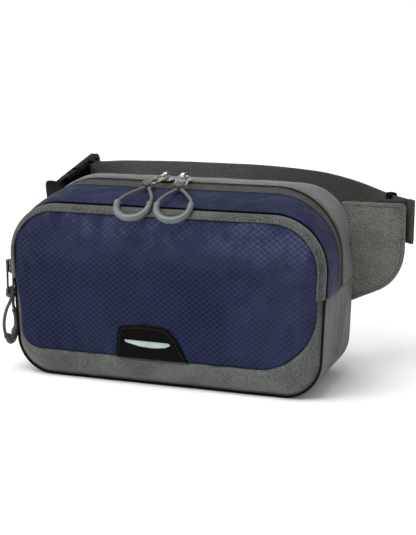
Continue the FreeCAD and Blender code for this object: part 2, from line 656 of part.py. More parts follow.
def sliders_and_pulls():
    """Two sliders on the main zip with their pulls forward, and one on the pocket zip with its pull down."""
    made = {}
    x_axis, forward, up = V(1, 0, 0), V(0, -1, 0), V(0, 0, 1)
    wire_height = SLIDER_LIFT + SLIDER_PLATE + RING_AXIS
    for side, x, yaws in zip(("left", "right"), MAIN_SLIDER_X, MAIN_YAWS):
        top = V(x, ZIP_Y, TOP_HEIGHT)
        made[f"main_slider_{side}"] = slider(top, V(-1, 0, 0), forward, up, True, 3.5)
        spine = Spine(top + up * wire_height, x_axis, forward, up, MAIN_SLOPES, yaws)
        tips = (0.0, RING_REACH + LEG_REACH)
        made.update(pull(f"main_pull_{side}", spine, tips, 0.0, (MAIN_LEG, MAIN_LEG)))
    z = POCKET_SLIDER_Z
    on_side = V(-side_x(z), (FRONT_Y + POCKET_COIL_BACK_Y) / 2, z)
    run = V(side_x(z + 1) - side_x(z), 0, -1).normalize()
    out = V(-1, 0, 0)
    out = (out - run * out.dot(run)).normalize()
    made["pocket_slider"] = slider(on_side, run.cross(out), run, out, False, 3.0)
    wire = on_side + out * wire_height
    spine = Spine(wire, V(0, -1, 0), V(-1, 0, 0), up, (90.0, 90.0, 90.0), (0.0, 0.0, 0.0))
    made.update(pull("pocket_pull", spine, POCKET_GRIP_AT, POCKET_LEAN, POCKET_LEGS))
    return made


# --- the whole bag ----------------------------------------------------------------------------------
def build():
    back = back_panel()
    body = body_loft(0.0)
    bag = body.fuse(back["back_panel_mesh"]).fuse(back["back_foam"])
    made = {
        **gussets(),
        "inner_divider": inner_divider(),
        **front_panels(),
        "pocket_top_band": pocket_band(),
        "front_piping": front_piping(),
        **light_patch(),
        **back,
        **wing_layers("right", bag),
        **wing_layers("left", bag),
        **belt(),
        "belt_keeper": belt_keeper(),
        "belt_lead": belt_lead(),
        "wing_loop_left": wing_loop_left(),
        "buckle_socket": buckle_socket(),
        "buckle_plug": buckle_plug(),
        "buckle_prong_upper": buckle_prong(1),
        "buckle_prong_lower": buckle_prong(-1),
        **sliders_and_pulls(),
    }
    os.makedirs("parts", exist_ok=True)
    for name, shape in made.items():
        solids = shape.Solids
        good = bool(solids) and all(s.isValid() and s.Volume > 0 for s in solids)
        print(f"{name}: {len(solids)} solid(s), {shape.Volume / 1000:.2f} cm3{'' if good else '  NOT VALID'}")
        (solids[0] if len(solids) == 1 else Part.makeCompound(solids)).exportStep(f"parts/{name}.step")


build()
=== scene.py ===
"""The looks of a waist pack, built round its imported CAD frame.

Lengths are in millimetres and turn into metres where a mesh is made. The front face looks along -Y, +Z is up.
"""

import math

import bmesh
import bpy
import numpy as np
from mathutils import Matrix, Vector


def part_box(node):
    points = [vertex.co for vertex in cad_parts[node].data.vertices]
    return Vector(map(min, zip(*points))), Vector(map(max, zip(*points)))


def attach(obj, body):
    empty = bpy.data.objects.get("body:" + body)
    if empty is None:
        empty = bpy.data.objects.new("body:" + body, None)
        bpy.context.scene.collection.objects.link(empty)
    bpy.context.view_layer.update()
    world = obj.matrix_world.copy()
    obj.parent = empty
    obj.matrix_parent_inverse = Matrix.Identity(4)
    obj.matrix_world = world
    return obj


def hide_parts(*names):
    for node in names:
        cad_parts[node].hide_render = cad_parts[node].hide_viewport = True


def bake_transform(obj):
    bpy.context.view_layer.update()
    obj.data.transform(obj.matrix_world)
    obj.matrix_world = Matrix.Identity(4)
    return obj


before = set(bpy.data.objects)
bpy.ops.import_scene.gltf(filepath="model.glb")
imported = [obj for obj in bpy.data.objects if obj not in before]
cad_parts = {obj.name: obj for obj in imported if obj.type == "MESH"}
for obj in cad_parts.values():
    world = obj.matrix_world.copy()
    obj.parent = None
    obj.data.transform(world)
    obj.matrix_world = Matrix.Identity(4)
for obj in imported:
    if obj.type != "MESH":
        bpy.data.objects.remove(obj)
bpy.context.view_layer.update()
MM = 0.001


# --- sizes ---
def cad(node):
    """Lowest and highest corner of a CAD node, in millimetres."""
    low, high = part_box(node)
    return np.array(low) / MM, np.array(high) / MM


WIDTH = 280.0  # at the top of the bag
TAPER = 0.04  # share of the width lost at the base
SEAM_Z = cad("pocket_top_band")[0][2]  # of the side seams
FRONT_Y, BACK_Y = cad("bottom_gusset")[0][1], cad("bottom_gusset")[1][1]
FRONT_HEIGHT = cad("pocket_top_band")[1][2]
TOP_HEIGHT = cad("main_zip_coil")[1][2]
BACK_HEIGHT = cad("back_panel_mesh")[1][2]
COIL_FRONT, COIL_BACK = cad("main_zip_coil")[0][1], cad("main_zip_coil")[1][1]
ZIP_Y = (COIL_FRONT + COIL_BACK) / 2
TAPE_FRONT = cad("main_zip_front_tape")[0][1]
TAPE_BACK = cad("main_zip_rear_tape")[1][1]
POCKET_COIL_BACK = cad("pocket_zip_coil")[1][1]
SECTION_Y = (FRONT_Y, ZIP_Y, BACK_Y)  # three sections, with the height and the top corners' radius of each
SECTION_HEIGHT = (FRONT_HEIGHT, TOP_HEIGHT, BACK_HEIGHT)
SECTION_CORNER = (44.0, 58.0, 39.0)
BASE_CORNER = 33.0
BAND = 9.0  # from the bag's outline in to the blue panel's, before that grows under the band
PIPING_R = 1.6
PIPING_SHOWN = 0.95  # of the part of the piping that stands out of its seam
BLUE_BASE_Z = 24.0  # of the blue panel's lower edge
BLUE_BASE_CORNER = (17.0, 46.0)  # its radii, left and right
WEBBING = 38.0  # the belt's width
WEB_THICK = 1.6
CLOTH_UV = "cloth"  # a UV map that holds millimetres on the flat cloth


# --- numbers ---
def unit(v):
    """A vector at length 1, or each row of a list of them."""
    return v / np.linalg.norm(v, axis=-1, keepdims=True)


def smooth(t):
    """A smooth step from 0 at t = 0 to 1 at t = 1."""
    t = np.clip(t, 0, 1)
    return t * t * (3 - 2 * t)


def bell(x, width):
    """1 at x = 0, falling away to both sides."""
    return np.exp(-((x / width) ** 2))


def ripple(x, y, seed):
    """Smooth repeatable noise of about -1 to 1, with features one unit across."""
    x, y = np.broadcast_arrays(np.asarray(x, float), np.asarray(y, float))
    x0, y0 = np.floor(x), np.floor(y)

    def corner(i, j):
        turn = np.sin((x0 + i) * 127.1 + (y0 + j) * 311.7 + seed * 74.7) * 43758.5453
        angle = 2 * math.pi * (turn - np.floor(turn))
        return np.cos(angle) * (x - x0 - i) + np.sin(angle) * (y - y0 - j)

    u, v = smooth(x - x0), smooth(y - y0)
    low = corner(0, 0) * (1 - u) + corner(1, 0) * u
    high = corner(0, 1) * (1 - u) + corner(1, 1) * u
    return (low * (1 - v) + high * v) * 1.6


def rounded(points, radii, closed=True, step=1.5):
    """A polyline along a flat polygon with rounded corners."""
    points = [np.array(p, float) for p in points]
    count = len(points)
    line = []
    for i, radius in enumerate(radii):
        point = points[i]
        if radius <= 0 or (not closed and i in (0, count - 1)):
            line.append(point)
            continue
        back, ahead = unit(points[i - 1] - point), unit(points[(i + 1) % count] - point)
        half = math.acos(np.clip(back @ ahead, -1, 1)) / 2
        centre = point + unit(back + ahead) * radius / math.sin(half)
        arm = point + back * radius / math.tan(half) - centre
        turn = -np.sign(back[0] * ahead[1] - back[1] * ahead[0])
        sweep = math.pi - 2 * half
        for angle in np.linspace(0, sweep * turn, max(3, math.ceil(radius * sweep / step) + 1)):
            c, s = math.cos(angle), math.sin(angle)
            line.append(centre + (arm[0] * c - arm[1] * s, arm[0] * s + arm[1] * c))
    return np.array(line)


def run_lengths(line):
    """Distance along a polyline at each of its points."""
    return np.concatenate([[0], np.cumsum(np.linalg.norm(np.diff(line, axis=0), axis=1))])


def points_at(line, along, s):
    """The points of a polyline at distances s, from its run lengths."""
    return np.stack([np.interp(s, along, line[:, k]) for k in range(line.shape[1])], -1)


def resample(line, count):
    """The same polyline with evenly spaced points."""
    line = np.asarray(line, float)
    along = run_lengths(line)
    return points_at(line, along, np.linspace(0, along[-1], count))


def at_depth(flat, y):
    """Flat (x, z) points placed at depth y."""
    return np.stack([flat[:, 0], np.broadcast_to(y, len(flat)), flat[:, 1]], 1)


def depth_in(points, ring):
    """Distance of each point to a closed ring, positive inside it."""
    after = np.roll(ring, -1, 0)
    side = after - ring
    found = []
    for part in np.array_split(points, max(1, len(points) // 4000)):
        gap = part[:, None] - ring[None]
        t = np.clip((gap * side).sum(-1) / np.maximum((side * side).sum(-1), 1e-12), 0, 1)
        distance = np.linalg.norm(gap - t[..., None] * side, axis=-1).min(1)
        spans = (ring[:, 1] > part[:, None, 1]) != (after[:, 1] > part[:, None, 1])
        rise = np.where(side[:, 1] == 0, 1e-9, side[:, 1])
        crossing = ring[:, 0] + side[:, 0] * (part[:, None, 1] - ring[:, 1]) / rise
        inside = (spans & (part[:, None, 0] < crossing)).sum(1) % 2 == 1
        found.append(np.where(inside, distance, -distance))
    return np.concatenate(found)


# --- the bag's outline ---
def half_width(z, height):
    """Half the width at z of a section of that height."""
    return WIDTH / 2 * (1 - TAPER * (1 - z / height))


def section(y):
    """The height and the top corners' radius at depth y."""
    return np.interp(y, SECTION_Y, SECTION_HEIGHT), np.interp(y, SECTION_Y, SECTION_CORNER)


def outline(y, inset=0.0):
    """The bag's whole outline at depth y, as (x, z)."""
    height, corner = section(y)
    base, top = half_width(0, height) - inset, WIDTH / 2 - inset
    low, high = max(BASE_CORNER - inset, 3), max(corner - inset, 3)
    corners = [(-base, inset), (base, inset), (top, height - inset), (-top, height - inset)]
    return rounded(corners, [low, low, high, high])


def open_outline(y, inset, z, corner):
    """The outline from the right side seam by its two corners at height z to the left one."""
    height = section(y)[0]
    side, end = half_width(SEAM_Z, height) - inset, half_width(z, height) - inset
    level = abs(z - inset)  # in from the top, or up from the base where z is 0
    corners = [(side, SEAM_Z), (end, level), (-end, level), (-side, SEAM_Z)]
    return rounded(corners, [0, corner - inset, corner - inset, 0], closed=False)


def arch(y, inset=0.0):
    """The outline above the side seams."""
    return open_outline(y, inset, *section(y))


def cradle(y, inset=0.0):
    """The outline below the side seams."""
    return open_outline(y, inset, 0.0, BASE_CORNER)


FRONT_RING = outline(FRONT_Y)


def blue_ring(grow=0.0, lower=0.0):
    """The outline of the blue front panel, grown under the band by grow and at its base by lower."""
    inset = BAND - grow
    top, base = WIDTH / 2 - inset, half_width(0, FRONT_HEIGHT) - inset
    foot = BLUE_BASE_Z - lower
    corners = [(-base, foot + 1.2), (base, foot), (top, FRONT_HEIGHT - inset), (-top, FRONT_HEIGHT - inset)]
    high = SECTION_CORNER[0] - inset
    return rounded(corners, [BLUE_BASE_CORNER[0] + grow, BLUE_BASE_CORNER[1] + grow, high, high])


def crown(flat):
    """How far the stuffed front stands forward of its seam at flat (x, z) points: steeper under the band."""
    t = np.maximum(depth_in(flat, FRONT_RING) - 2 * PIPING_R, 0)
    steep = 0.9 + 2.6 * smooth((SEAM_Z + 2 - flat[:, 1]) / 34)
    return 8.4 * (1 - np.exp(-t / steep)) + 4.2 * (1 - np.exp(-t / 28))


# --- meshes ---
def add_object(name, data):
    made = bpy.data.objects.new(name, data)
    bpy.context.scene.collection.objects.link(made)
    return made


def mesh_object(name, points, faces, look, uv=None):
    """A new smooth object from points in millimetres. uv is given for each point, in millimetres too."""
    mesh = bpy.data.meshes.new(name)
    mesh.from_pydata((np.asarray(points, float) * MM).tolist(), [], faces)
    mesh.polygons.foreach_set("use_smooth", [True] * len(mesh.polygons))
    if uv is not None:
        corner = np.zeros(len(mesh.loops), np.int32)
        mesh.loops.foreach_get("vertex_index", corner)
        mesh.uv_layers.new(name=CLOTH_UV).data.foreach_set("uv", np.asarray(uv, np.float32)[corner].ravel())
    mesh.materials.append(look)
    return add_object(name, mesh)


def grid_faces(rows, columns, wrap=False):
    """Quads of a grid whose points are stored row by row. wrap joins the last column to the first."""
    faces = []
    for r in range(rows - 1):
        for c in range(columns if wrap else columns - 1):
            d = (c + 1) % columns
            faces.append((r * columns + c, r * columns + d, (r + 1) * columns + d, (r + 1) * columns + c))
    return faces


def cut_sheet(shape, ring, step):
    """Squares of a flat grid over a ring, cut to where shape(points) is positive, as (points, faces)."""
    low, high = ring.min(0) - 1, ring.max(0) + 1
    across, upward = (np.ceil((high - low) / step).astype(int) + 1).tolist()
    place = np.stack(np.meshgrid(np.arange(across), np.arange(upward), indexing="ij"), -1) * step + low
    value = shape(place.reshape(-1, 2)).reshape(across, upward)
    slope = np.stack(np.gradient(value, step), -1)
    steep = np.linalg.norm(slope, axis=-1)
    near = (np.abs(value) < 0.3 * step) & (steep > 0.3)
    place[near] -= (slope[near].T / steep[near] ** 2 * value[near]).T
    value[near] = 0.0
    points, faces, index = [], [], {}

    def vertex(key, point):
        if key not in index:
            index[key] = len(points)
            points.append(point)
        return index[key]

    for i in range(across - 1):
        for j in range(upward - 1):
            ring = [(i, j), (i + 1, j), (i + 1, j + 1), (i, j + 1)]
            if max(value[c] for c in ring) <= 0:
                continue
            face = []
            for a, b in zip(ring, ring[1:] + ring[:1]):
                if value[a] >= 0:
                    face.append(vertex(a, place[a]))
                if value[a] * value[b] < 0:
                    share = value[a] / (value[a] - value[b])
                    face.append(vertex((min(a, b), max(a, b)), place[a] * (1 - share) + place[b] * share))
            if len(face) > 2:
                faces.append(face)
    return np.array(points), faces


def cut_ring(ring, step):
    """The flat sheet inside a ring, as (points, faces, distance of each point to the ring)."""
    points, faces = cut_sheet(lambda p: depth_in(p, ring), ring, step)
    return points, faces, depth_in(points, ring)


def face_away(made, centre):
    """Turns an open sheet's faces so that they look away from a point, in millimetres."""
    mesh = made.data
    centre = Vector(centre) * MM
    if sum(p.normal.dot(p.center - centre) * p.area for p in mesh.polygons) < 0:
        mesh.flip_normals()


def thicken(made, thick):
    """Gives an open sheet its thickness, on the side that its faces look away from."""
    modifier = made.modifiers.new("thickness", "SOLIDIFY")
    modifier.thickness = thick * MM
    modifier.offset = -1.0


def settle(made, body, slot, *nodes):
    """Puts a piece on its body, and lets it stand for CAD nodes. Its slot is not used."""
    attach(made, body)
    if nodes:
        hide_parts(*nodes)
    return made


def frames(line, up=None):
    """Unit side and upward directions along a polyline. Without up they turn as little as they can."""
    tangent = unit(np.gradient(line, axis=0))
    if up is None:
        upward = [unit(np.cross(tangent[0], (0.31, 0.52, 0.79)))]
        for t in tangent[1:]:
            upward.append(unit(upward[-1] - t * (upward[-1] @ t)))
        upward = np.array(upward)
    else:
        upward = unit(up - tangent * (up * tangent).sum(-1)[:, None])
    return np.cross(tangent, upward), upward


def tube(name, points, look, along, edge):
    """A capped tube from points[station, place round it]. along and edge are the cloth's places there."""
    rows, columns = points.shape[:2]
    faces = grid_faces(rows, columns, wrap=True)
    faces.append(list(range(columns))[::-1])
    faces.append([(rows - 1) * columns + c for c in range(columns)])
    uv = np.stack(np.broadcast_arrays(np.reshape(along, (-1, 1)), np.reshape(edge, (1, -1))), -1)
    return mesh_object(name, points.reshape(-1, 3), faces, look, uv.reshape(-1, 2))


def sweep(name, line, profile, look, up=None, scale=1.0, edge=None):
    """A closed profile, as (side, up) points or one such list per station, carried along a polyline.

    edge is each profile point's place across the cloth, which is its distance round the profile if not given.
    """
    profile = np.asarray(profile, float) * np.reshape(scale, (-1, 1, 1))
    side, upward = frames(line, up)
    points = line[:, None] + profile[..., :1] * side[:, None] + profile[..., 1:] * upward[:, None]
    if edge is None:
        edge = run_lengths(np.concatenate([profile[0], profile[0][:1]]))[:-1]
    return tube(name, points, look, run_lengths(line), edge)


def around(count):
    """Evenly spaced angles of one turn."""
    return np.arange(count) * 2 * math.pi / count


def circle(radius, count=16, squash=1.0):
    angle = around(count)
    return np.stack([np.cos(angle) * radius, np.sin(angle) * radius * squash], 1)


# each station's place along a stitch and width there, as shares of its length and thickness
STITCH_STATIONS = ((-0.5, 0.25), (-0.36, 0.85), (0.0, 1.0), (0.36, 0.85), (0.5, 0.25))
STITCH_SIDES = 6


def stitch_row(name, line, normals, look, slot, pitch=3.4, length=2.5, thick=0.55, sink=0.05, across=False):
    """A row of single stitches along a line on the bag, or across it, as one mesh of small threads."""
    along = run_lengths(line)
    normals = np.broadcast_to(normals, line.shape)
    count = max(2, int(along[-1] / pitch))
    points, faces = [], []
    thread_faces = grid_faces(len(STITCH_STATIONS), STITCH_SIDES, wrap=True)
    last = (len(STITCH_STATIONS) - 1) * STITCH_SIDES
    thread_faces += [list(range(STITCH_SIDES))[::-1], list(range(last, last + STITCH_SIDES))]
    for s in (np.arange(count) + 0.5) * along[-1] / count:
        centre = points_at(line, along, s)
        ahead = points_at(line, along, s + 0.5) - centre
        if np.linalg.norm(ahead) < 1e-6:
            continue
        normal = unit(points_at(normals, along, s))
        ahead = unit(ahead - normal * (ahead @ normal))
        side = np.cross(normal, ahead)
        if across:
            ahead, side = side, -ahead
        faces += [[v + len(points) for v in face] for face in thread_faces]
        for at, width in STITCH_STATIONS:
            lift = thick * (0.5 * math.cos(at * math.pi) - sink)
            for turn in around(STITCH_SIDES):
                out = side * math.cos(turn) + normal * math.sin(turn)
                points.append(centre + ahead * at * length + normal * lift + out * width * thick / 2)
    return settle(mesh_object(name, points, faces, look), "bag", slot)


def tidy_normals(made):
    """Turns every face of a closed mesh outwards."""
    work = bmesh.new()
    work.from_mesh(made.data)
    bmesh.ops.recalc_face_normals(work, faces=work.faces)
    work.to_mesh(made.data)
    work.free()


# --- materials ---
def srgb(levels):
    """A colour from 0 to 255 levels, as the renderer's linear numbers."""
    return tuple((v / 255 / 12.92) if v <= 10 else ((v / 255 + 0.055) / 1.055) ** 2.4 for v in levels)


class Value:
    """A number, vector or colour that a material works out, on a socket of its node tree."""

    def __init__(self, look, socket):
        self.look, self.socket = look, socket

    def __add__(self, other):
        return self.look.math("ADD", self, other)

    def __sub__(self, other):
        return self.look.math("SUBTRACT", self, other)

    def __mul__(self, other):
        return self.look.math("MULTIPLY", self, other)


class Look:
    """One procedural material. Its patterns are values of its node tree."""

    def __init__(self, name, roughness, specular=0.3, **constants):
        self.material = bpy.data.materials.new(name)
        self.material.use_nodes = True
        self.tree = self.material.node_tree
        self.shader = self.tree.nodes["Principled BSDF"]
        self.shader.inputs["Roughness"].default_value = roughness
        self.shader.inputs["Specular IOR Level"].default_value = specular
        for socket, value in constants.items():
            self.shader.inputs[socket.replace("_", " ")].default_value = value

    def node(self, kind, values, **settings):
        made = self.tree.nodes.new("ShaderNode" + kind)
        for key, value in settings.items():
            setattr(made, key, value)
        for socket, value in values.items():
            if isinstance(value, Value):
                self.tree.links.new(value.socket, made.inputs[socket])
            else:
                made.inputs[socket].default_value = value
        return made

    def value(self, kind, values, output=0, **settings):
        return Value(self, self.node(kind, values, **settings).outputs[output])

    def math(self, operation, *values):
        return self.value("Math", dict(enumerate(values)), operation=operation)

    def parts(self, vector):
        """The three numbers of a vector."""
        return [Value(self, part) for part in self.node("SeparateXYZ", {0: vector}).outputs]

    def cloth(self):
        """Millimetres along and across the flat cloth, from the UV map."""
        return self.parts(self.value("UVMap", {}, uv_map=CLOTH_UV))[:2]

    def space(self):
        """The place in the object's frame, in millimetres, as a vector."""
        place = self.value("TexCoord", {}, "Object")
        return self.value("VectorMath", {0: place, "Scale": 1 / MM}, operation="SCALE")

    def noise(self, size, detail=2.0):
        """Noise of 0 to 1 with features of a size in millimetres."""
        return self.value("TexNoise", {"Vector": self.space(), "Scale": 1 / size, "Detail": detail})

    def wave(self, value, period):
        """A sine of -1 to 1."""
        return self.math("SINE", value * (2 * math.pi / period))

    def turned(self, u, v, angle):
        """Distance along a direction in the cloth, angle in degrees from its length."""
        return u * math.cos(math.radians(angle)) + v * math.sin(math.radians(angle))

    def rightward(self, start, end):
        """0 left of x = start, rising to 1 at x = end."""
        return self.spread(self.parts(self.space())[0], start, end)

    def lines(self, value, period, width):
        """1 on evenly spaced lines, falling to 0 at width from them."""
        return self.spread(self.math("PINGPONG", value, period / 2), 0, width, 1, 0)

    def spread(self, value, low, high, to_low=0.0, to_high=1.0):
        """A smooth step from to_low where the value is low to to_high where it is high."""
        values = {0: value, 1: low, 2: high, 3: to_low, 4: to_high}
        return self.value("MapRange", values, interpolation_type="SMOOTHSTEP")

    def mix(self, share, a, b):
        """From colour a at share 0 to b at share 1. A tuple is a colour in 0 to 255 levels."""
        values = {0: share}
        for key, colour in ((6, a), (7, b)):
            values[key] = (*srgb(colour), 1.0) if isinstance(colour, tuple) else colour
        return self.value("Mix", values, 2, data_type="RGBA")

    def finish(self, colour, height, depth=0.3, strength=1.0, rough=None):
        """Wires the colour, the bump of a depth in millimetres and the roughness."""
        bump = self.value("Bump", {"Height": height, "Strength": strength, "Distance": depth * MM})
        for socket, value in (("Base Color", colour), ("Normal", bump), ("Roughness", rough)):
            if value is not None:
                self.tree.links.new(value.socket, self.shader.inputs[socket])
        return self.material


RIP_PERIOD = 3.7  # between the ripstop's heavy threads
RIP_ANGLE = 38.0  # of those threads from level


def ripstop_look(name, lit=None):
    """Navy diamond ripstop: heavy diagonal threads, a light one half way, puffed cells between.

    A painted sheen, in streaks, lightens it towards the top and the right and less at the left, or evenly by
    lit. Where that painted sheen is strong its heavy threads show dark, elsewhere pale.
    """
    look = Look(name, 0.48, 0.13, Sheen_Weight=0.03, Sheen_Roughness=0.4, Sheen_Tint=(0.55, 0.6, 0.9, 1))
    u, v = look.cloth()
    warp = (look.noise(28, 1) - 0.5) * 1.6
    heavy, light, puff = [], [], []
    for sign in (1, -1):
        across = look.turned(u, v * sign, 90 - RIP_ANGLE) + warp
        heavy.append(look.lines(across, RIP_PERIOD, 0.5))
        light.append(look.lines(across, RIP_PERIOD / 2, 0.28))
        puff.append(look.math("PINGPONG", across, RIP_PERIOD / 2))
    heavy, light = look.math("MAXIMUM", *heavy), look.math("MAXIMUM", *light)
    weave = look.wave(u, 0.62) * look.wave(v, 0.62)
    height = heavy * 0.7 + light * 0.12 + puff[0] * puff[1] * 0.16 + weave * 0.05
    # painted sheen: lighter towards the top and the right, weaker at the left, in streaks
    streaks = look.spread(look.noise(17, 2), 0.35, 0.7)
    if lit is None:
        x, _, z = look.parts(look.space())
        high, right = look.spread(z, 92, 138), look.spread(x, 40, 115)
        painted_sheen = (high + right * 0.45) * (streaks * 0.75 + 0.3) * look.spread(x, -135, -50, 0.3, 1.0)
        painted_sheen = look.math("MINIMUM", painted_sheen, 1.0)
    else:
        painted_sheen = streaks * lit
    base = look.mix(look.spread(look.noise(40, 2), 0.3, 0.7), (6, 12, 36), (17, 25, 54))
    base = look.mix(look.spread(look.noise(2.6, 2), 0.4, 0.62) * 0.3, base, (4, 8, 24))
    base = look.mix(painted_sheen * 0.8, base, (66, 71, 104))
    base = look.mix(light * 0.25, base, (46, 54, 86))
    threads = look.mix(look.spread(painted_sheen, 0.12, 0.4), (54, 62, 98), (8, 11, 28))
    base = look.mix(heavy * (painted_sheen * 0.5 + 0.45), base, threads)
    rough = look.spread(look.noise(9, 3), 0.2, 0.8, 0.42, 0.58)
    return look.finish(base, height, 0.28, 0.9, rough)


def weave_look(
    name, dark, light, period=1.5, angle=45.0, depth=0.14, roughness=0.7, sheen=0.15, shine=0.2, shade_right=0.0
):
    """A fabric with a fine diagonal rib and slow changes of tone. Its last argument paints shade that darkens
    it towards the right.
    """
    look = Look(name, roughness, shine, Sheen_Weight=sheen, Sheen_Roughness=0.45)
    u, v = look.cloth()
    rib = look.wave(look.turned(u, v, angle) + look.noise(12, 2) * 0.9, period)
    thread = look.wave(look.turned(u, v, angle + 90), period * 0.62)
    speck = look.noise(0.9, 2)
    tone = look.spread(look.noise(30, 3) * 0.3 + speck * 0.7, 0.4, 0.6) + rib * thread * 0.55
    base = look.mix(tone, dark, light)
    # painted shade: darker towards the right
    if shade_right:
        base = look.mix(look.rightward(70, 135) * shade_right, base, (22, 24, 23))
    rough = look.spread(speck, 0.3, 0.7, roughness - 0.08, roughness + 0.08)
    return look.finish(base, rib * 0.6 + thread * 0.3 + speck * 0.5, depth, 1.0, rough)


def tape_look():
    """A zip tape: ribs along it, with a finer cross rib."""
    look = Look("zip_tape", 0.75, 0.2)
    u, v = look.cloth()
    ribs, cross = look.wave(v, 1.9), look.wave(u, 1.3)
    tone = look.spread(ribs * 0.22 + look.noise(0.8, 2), 0.2, 0.85)
    return look.finish(look.mix(tone, (26, 25, 22), (98, 96, 90)), ribs * 0.6 + cross * 0.4, 0.3)


def webbing_look():
    """Flat webbing: lengthwise ribs of crossed threads, with a plain selvedge at each edge."""
    look = Look("belt_webbing", 0.72, 0.25, Sheen_Weight=0.08)
    u, v = look.cloth()
    edge = look.math("ABSOLUTE", v)
    selvedge = look.spread(edge, WEBBING / 2 - 3.2, WEBBING / 2 - 2.2)
    ribs = look.wave(v, 2.3)
    slant = look.wave(u + ribs * 0.35, 1.25)
    weave = ribs * slant * 0.5 + slant * 0.4
    tone = look.spread(look.noise(1.1, 2), 0.3, 0.7) * 0.6 + weave * 0.25
    base = look.mix(tone, (66, 67, 65), (104, 105, 102))
    base = look.mix(selvedge * 0.35, base, (44, 44, 42))
    # painted shade: darker towards the right, where the belt is lit less
    base = look.mix(look.rightward(-20, 110) * 0.6, base, (22, 22, 21))
    return look.finish(base, weave - look.lines(edge - 2.7, WEBBING / 2, 0.5) * 0.8, 0.25)


def braid_look(name, dark, light):
    """Braided cord: two families of strands that cross as they go round."""
    look = Look(name, 0.7, 0.25, Sheen_Weight=0.1)
    u, v = look.cloth()
    strands = look.math("MAXIMUM", *(look.wave(look.turned(u, v, lean), 1.1) for lean in (40, -40)))
    tone = strands * 0.45 + look.noise(0.5, 2) * 0.5
    return look.finish(look.mix(tone, dark, light), strands, 0.15)


def moulded_look(name, dark, light, roughness, specular, grain, depth):
    """Moulded plastic or rubber: fine grain, slow changes of tone and polish where it is handled."""
    look = Look(name, roughness, specular)
    speck, patch = look.noise(grain, 3), look.noise(14, 3)
    tone = look.spread(speck * 0.35 + patch * 0.65, 0.35, 0.65)
    rough = look.spread(patch, 0.3, 0.7, max(roughness - 0.08, 0.05), roughness + 0.1)
    return look.finish(look.mix(tone, dark, light), speck, depth, 1.0, rough)


def metal_look(name, dark, light):
    """Plated zinc with fine scratches and dulled hollows."""
    look = Look(name, 0.22, 0.5, Metallic=1.0)
    scratch = look.noise(1 / 3.5, 4)
    tone = look.spread(look.noise(3.5, 3), 0.3, 0.7)
    rough = look.spread(scratch, 0.25, 0.75, 0.16, 0.36)
    return look.finish(look.mix(tone, dark, light), scratch, 0.02, 0.5, rough)


def mesh_look():
    """Spacer mesh: small round holes in staggered rows, painted dark as the shade at their bottoms."""
    look = Look("spacer_mesh", 0.8, 0.2, Sheen_Weight=0.15)
    x, _, z = look.parts(look.space())
    rows = look.wave(x, 3.0) * look.wave(z, 2.7)
    hole = look.spread(look.math("ABSOLUTE", rows), 0.38, 0.7)
    speck = look.noise(0.7, 2)
    base = look.mix(look.spread(speck, 0.3, 0.7), (66, 68, 70), (96, 98, 100))
    # the holes' dark colour is painted shade
    return look.finish(look.mix(hole, base, (26, 26, 28)), speck - hole * 1.6, 0.5)


NAVY = ripstop_look("ripstop_navy")
# the wall between the zips gets an even painted sheen
NAVY_WALL = ripstop_look("ripstop_wall", lit=0.22)
TAPE = tape_look()
BELT = webbing_look()
SPACER = mesh_look()
METAL = metal_look("bright_metal", (150, 150, 146), (226, 226, 224))
DARK_METAL = metal_look("dark_metal", (44, 43, 40), (84, 82, 78))
# woven: darkest and lightest tone, then the rib's period, its angle and depth, and the roughness
GREY = weave_look("coated_grey", (54, 58, 55), (108, 111, 107), depth=0.2)
# the rear gusset carries painted shade towards the right
REAR_GREY = weave_look("rear_grey", (66, 71, 70), (120, 126, 125), roughness=0.5, shine=0.42, shade_right=0.45)
BAND_GREY = weave_look("band_grey", (28, 31, 29), (102, 104, 100), 1.9, 60.0, 0.2)
TWILL = weave_look("twill_grey", (70, 69, 65), (116, 115, 109), 2.1, 62.0, 0.26, 0.78)
LINING = weave_look("lining", (56, 58, 60), (74, 76, 78), 1.2)
ELASTIC = weave_look("elastic_black", (3, 3, 3), (13, 13, 13), 1.6, 0.0, 0.2, 0.8, sheen=0.0, shine=0.05)
PIPING = weave_look("piping_black", (4, 4, 5), (16, 16, 17), 1.4, 35.0, 0.15, 0.6, sheen=0.0, shine=0.08)
BLACK_WEB = weave_look("black_webbing", (2, 2, 2), (9, 8, 8), 1.8, 0.0, 0.16, 0.5, sheen=0.0, shine=0.05)
# braided: darkest and lightest tone
CORD = braid_look("cord_grey", (66, 67, 65), (130, 131, 127))
CORD_DARK = braid_look("cord_dark", (48, 48, 46), (98, 98, 94))
THREAD_DARK = braid_look("thread_dark", (40, 42, 42), (66, 68, 68))
THREAD_GREY = braid_look("thread_grey", (96, 98, 95), (134, 136, 132))
THREAD_BLACK = braid_look("thread_black", (22, 21, 20), (48, 45, 42))
# moulded: darkest and lightest tone, roughness, specular level, and the grain's size and depth
GRIP = moulded_look("grip_rubber", (84, 92, 92), (106, 114, 114), 0.34, 0.5, 0.6, 0.03)
GRIP_DARK = moulded_look("grip_dark", (38, 39, 37), (60, 61, 58), 0.5, 0.35, 0.6, 0.05)
BLACK_PLASTIC = moulded_look("black_plastic", (3, 3, 3), (9, 8, 8), 0.24, 0.07, 0.4, 0.03)
PATCH = moulded_look("patch_black", (5, 5, 4), (15, 13, 12), 0.75, 0.06, 0.5, 0.12)
STRIP = moulded_look("patch_strip", (166, 186, 184), (190, 208, 206), 0.45, 0.3, 0.8, 0.02)
COIL = moulded_look("zip_coil", (16, 15, 14), (40, 39, 36), 0.5, 0.2, 0.5, 0.04)
# near black: painted shade of a zip's gap, on the chains' floors, the rear tape and the pocket zip's coil
# turns
GAP_SHADE = moulded_look("zip_gap_shade", (6, 6, 6), (14, 14, 14), 0.7, 0.1, 0.5, 0.04)

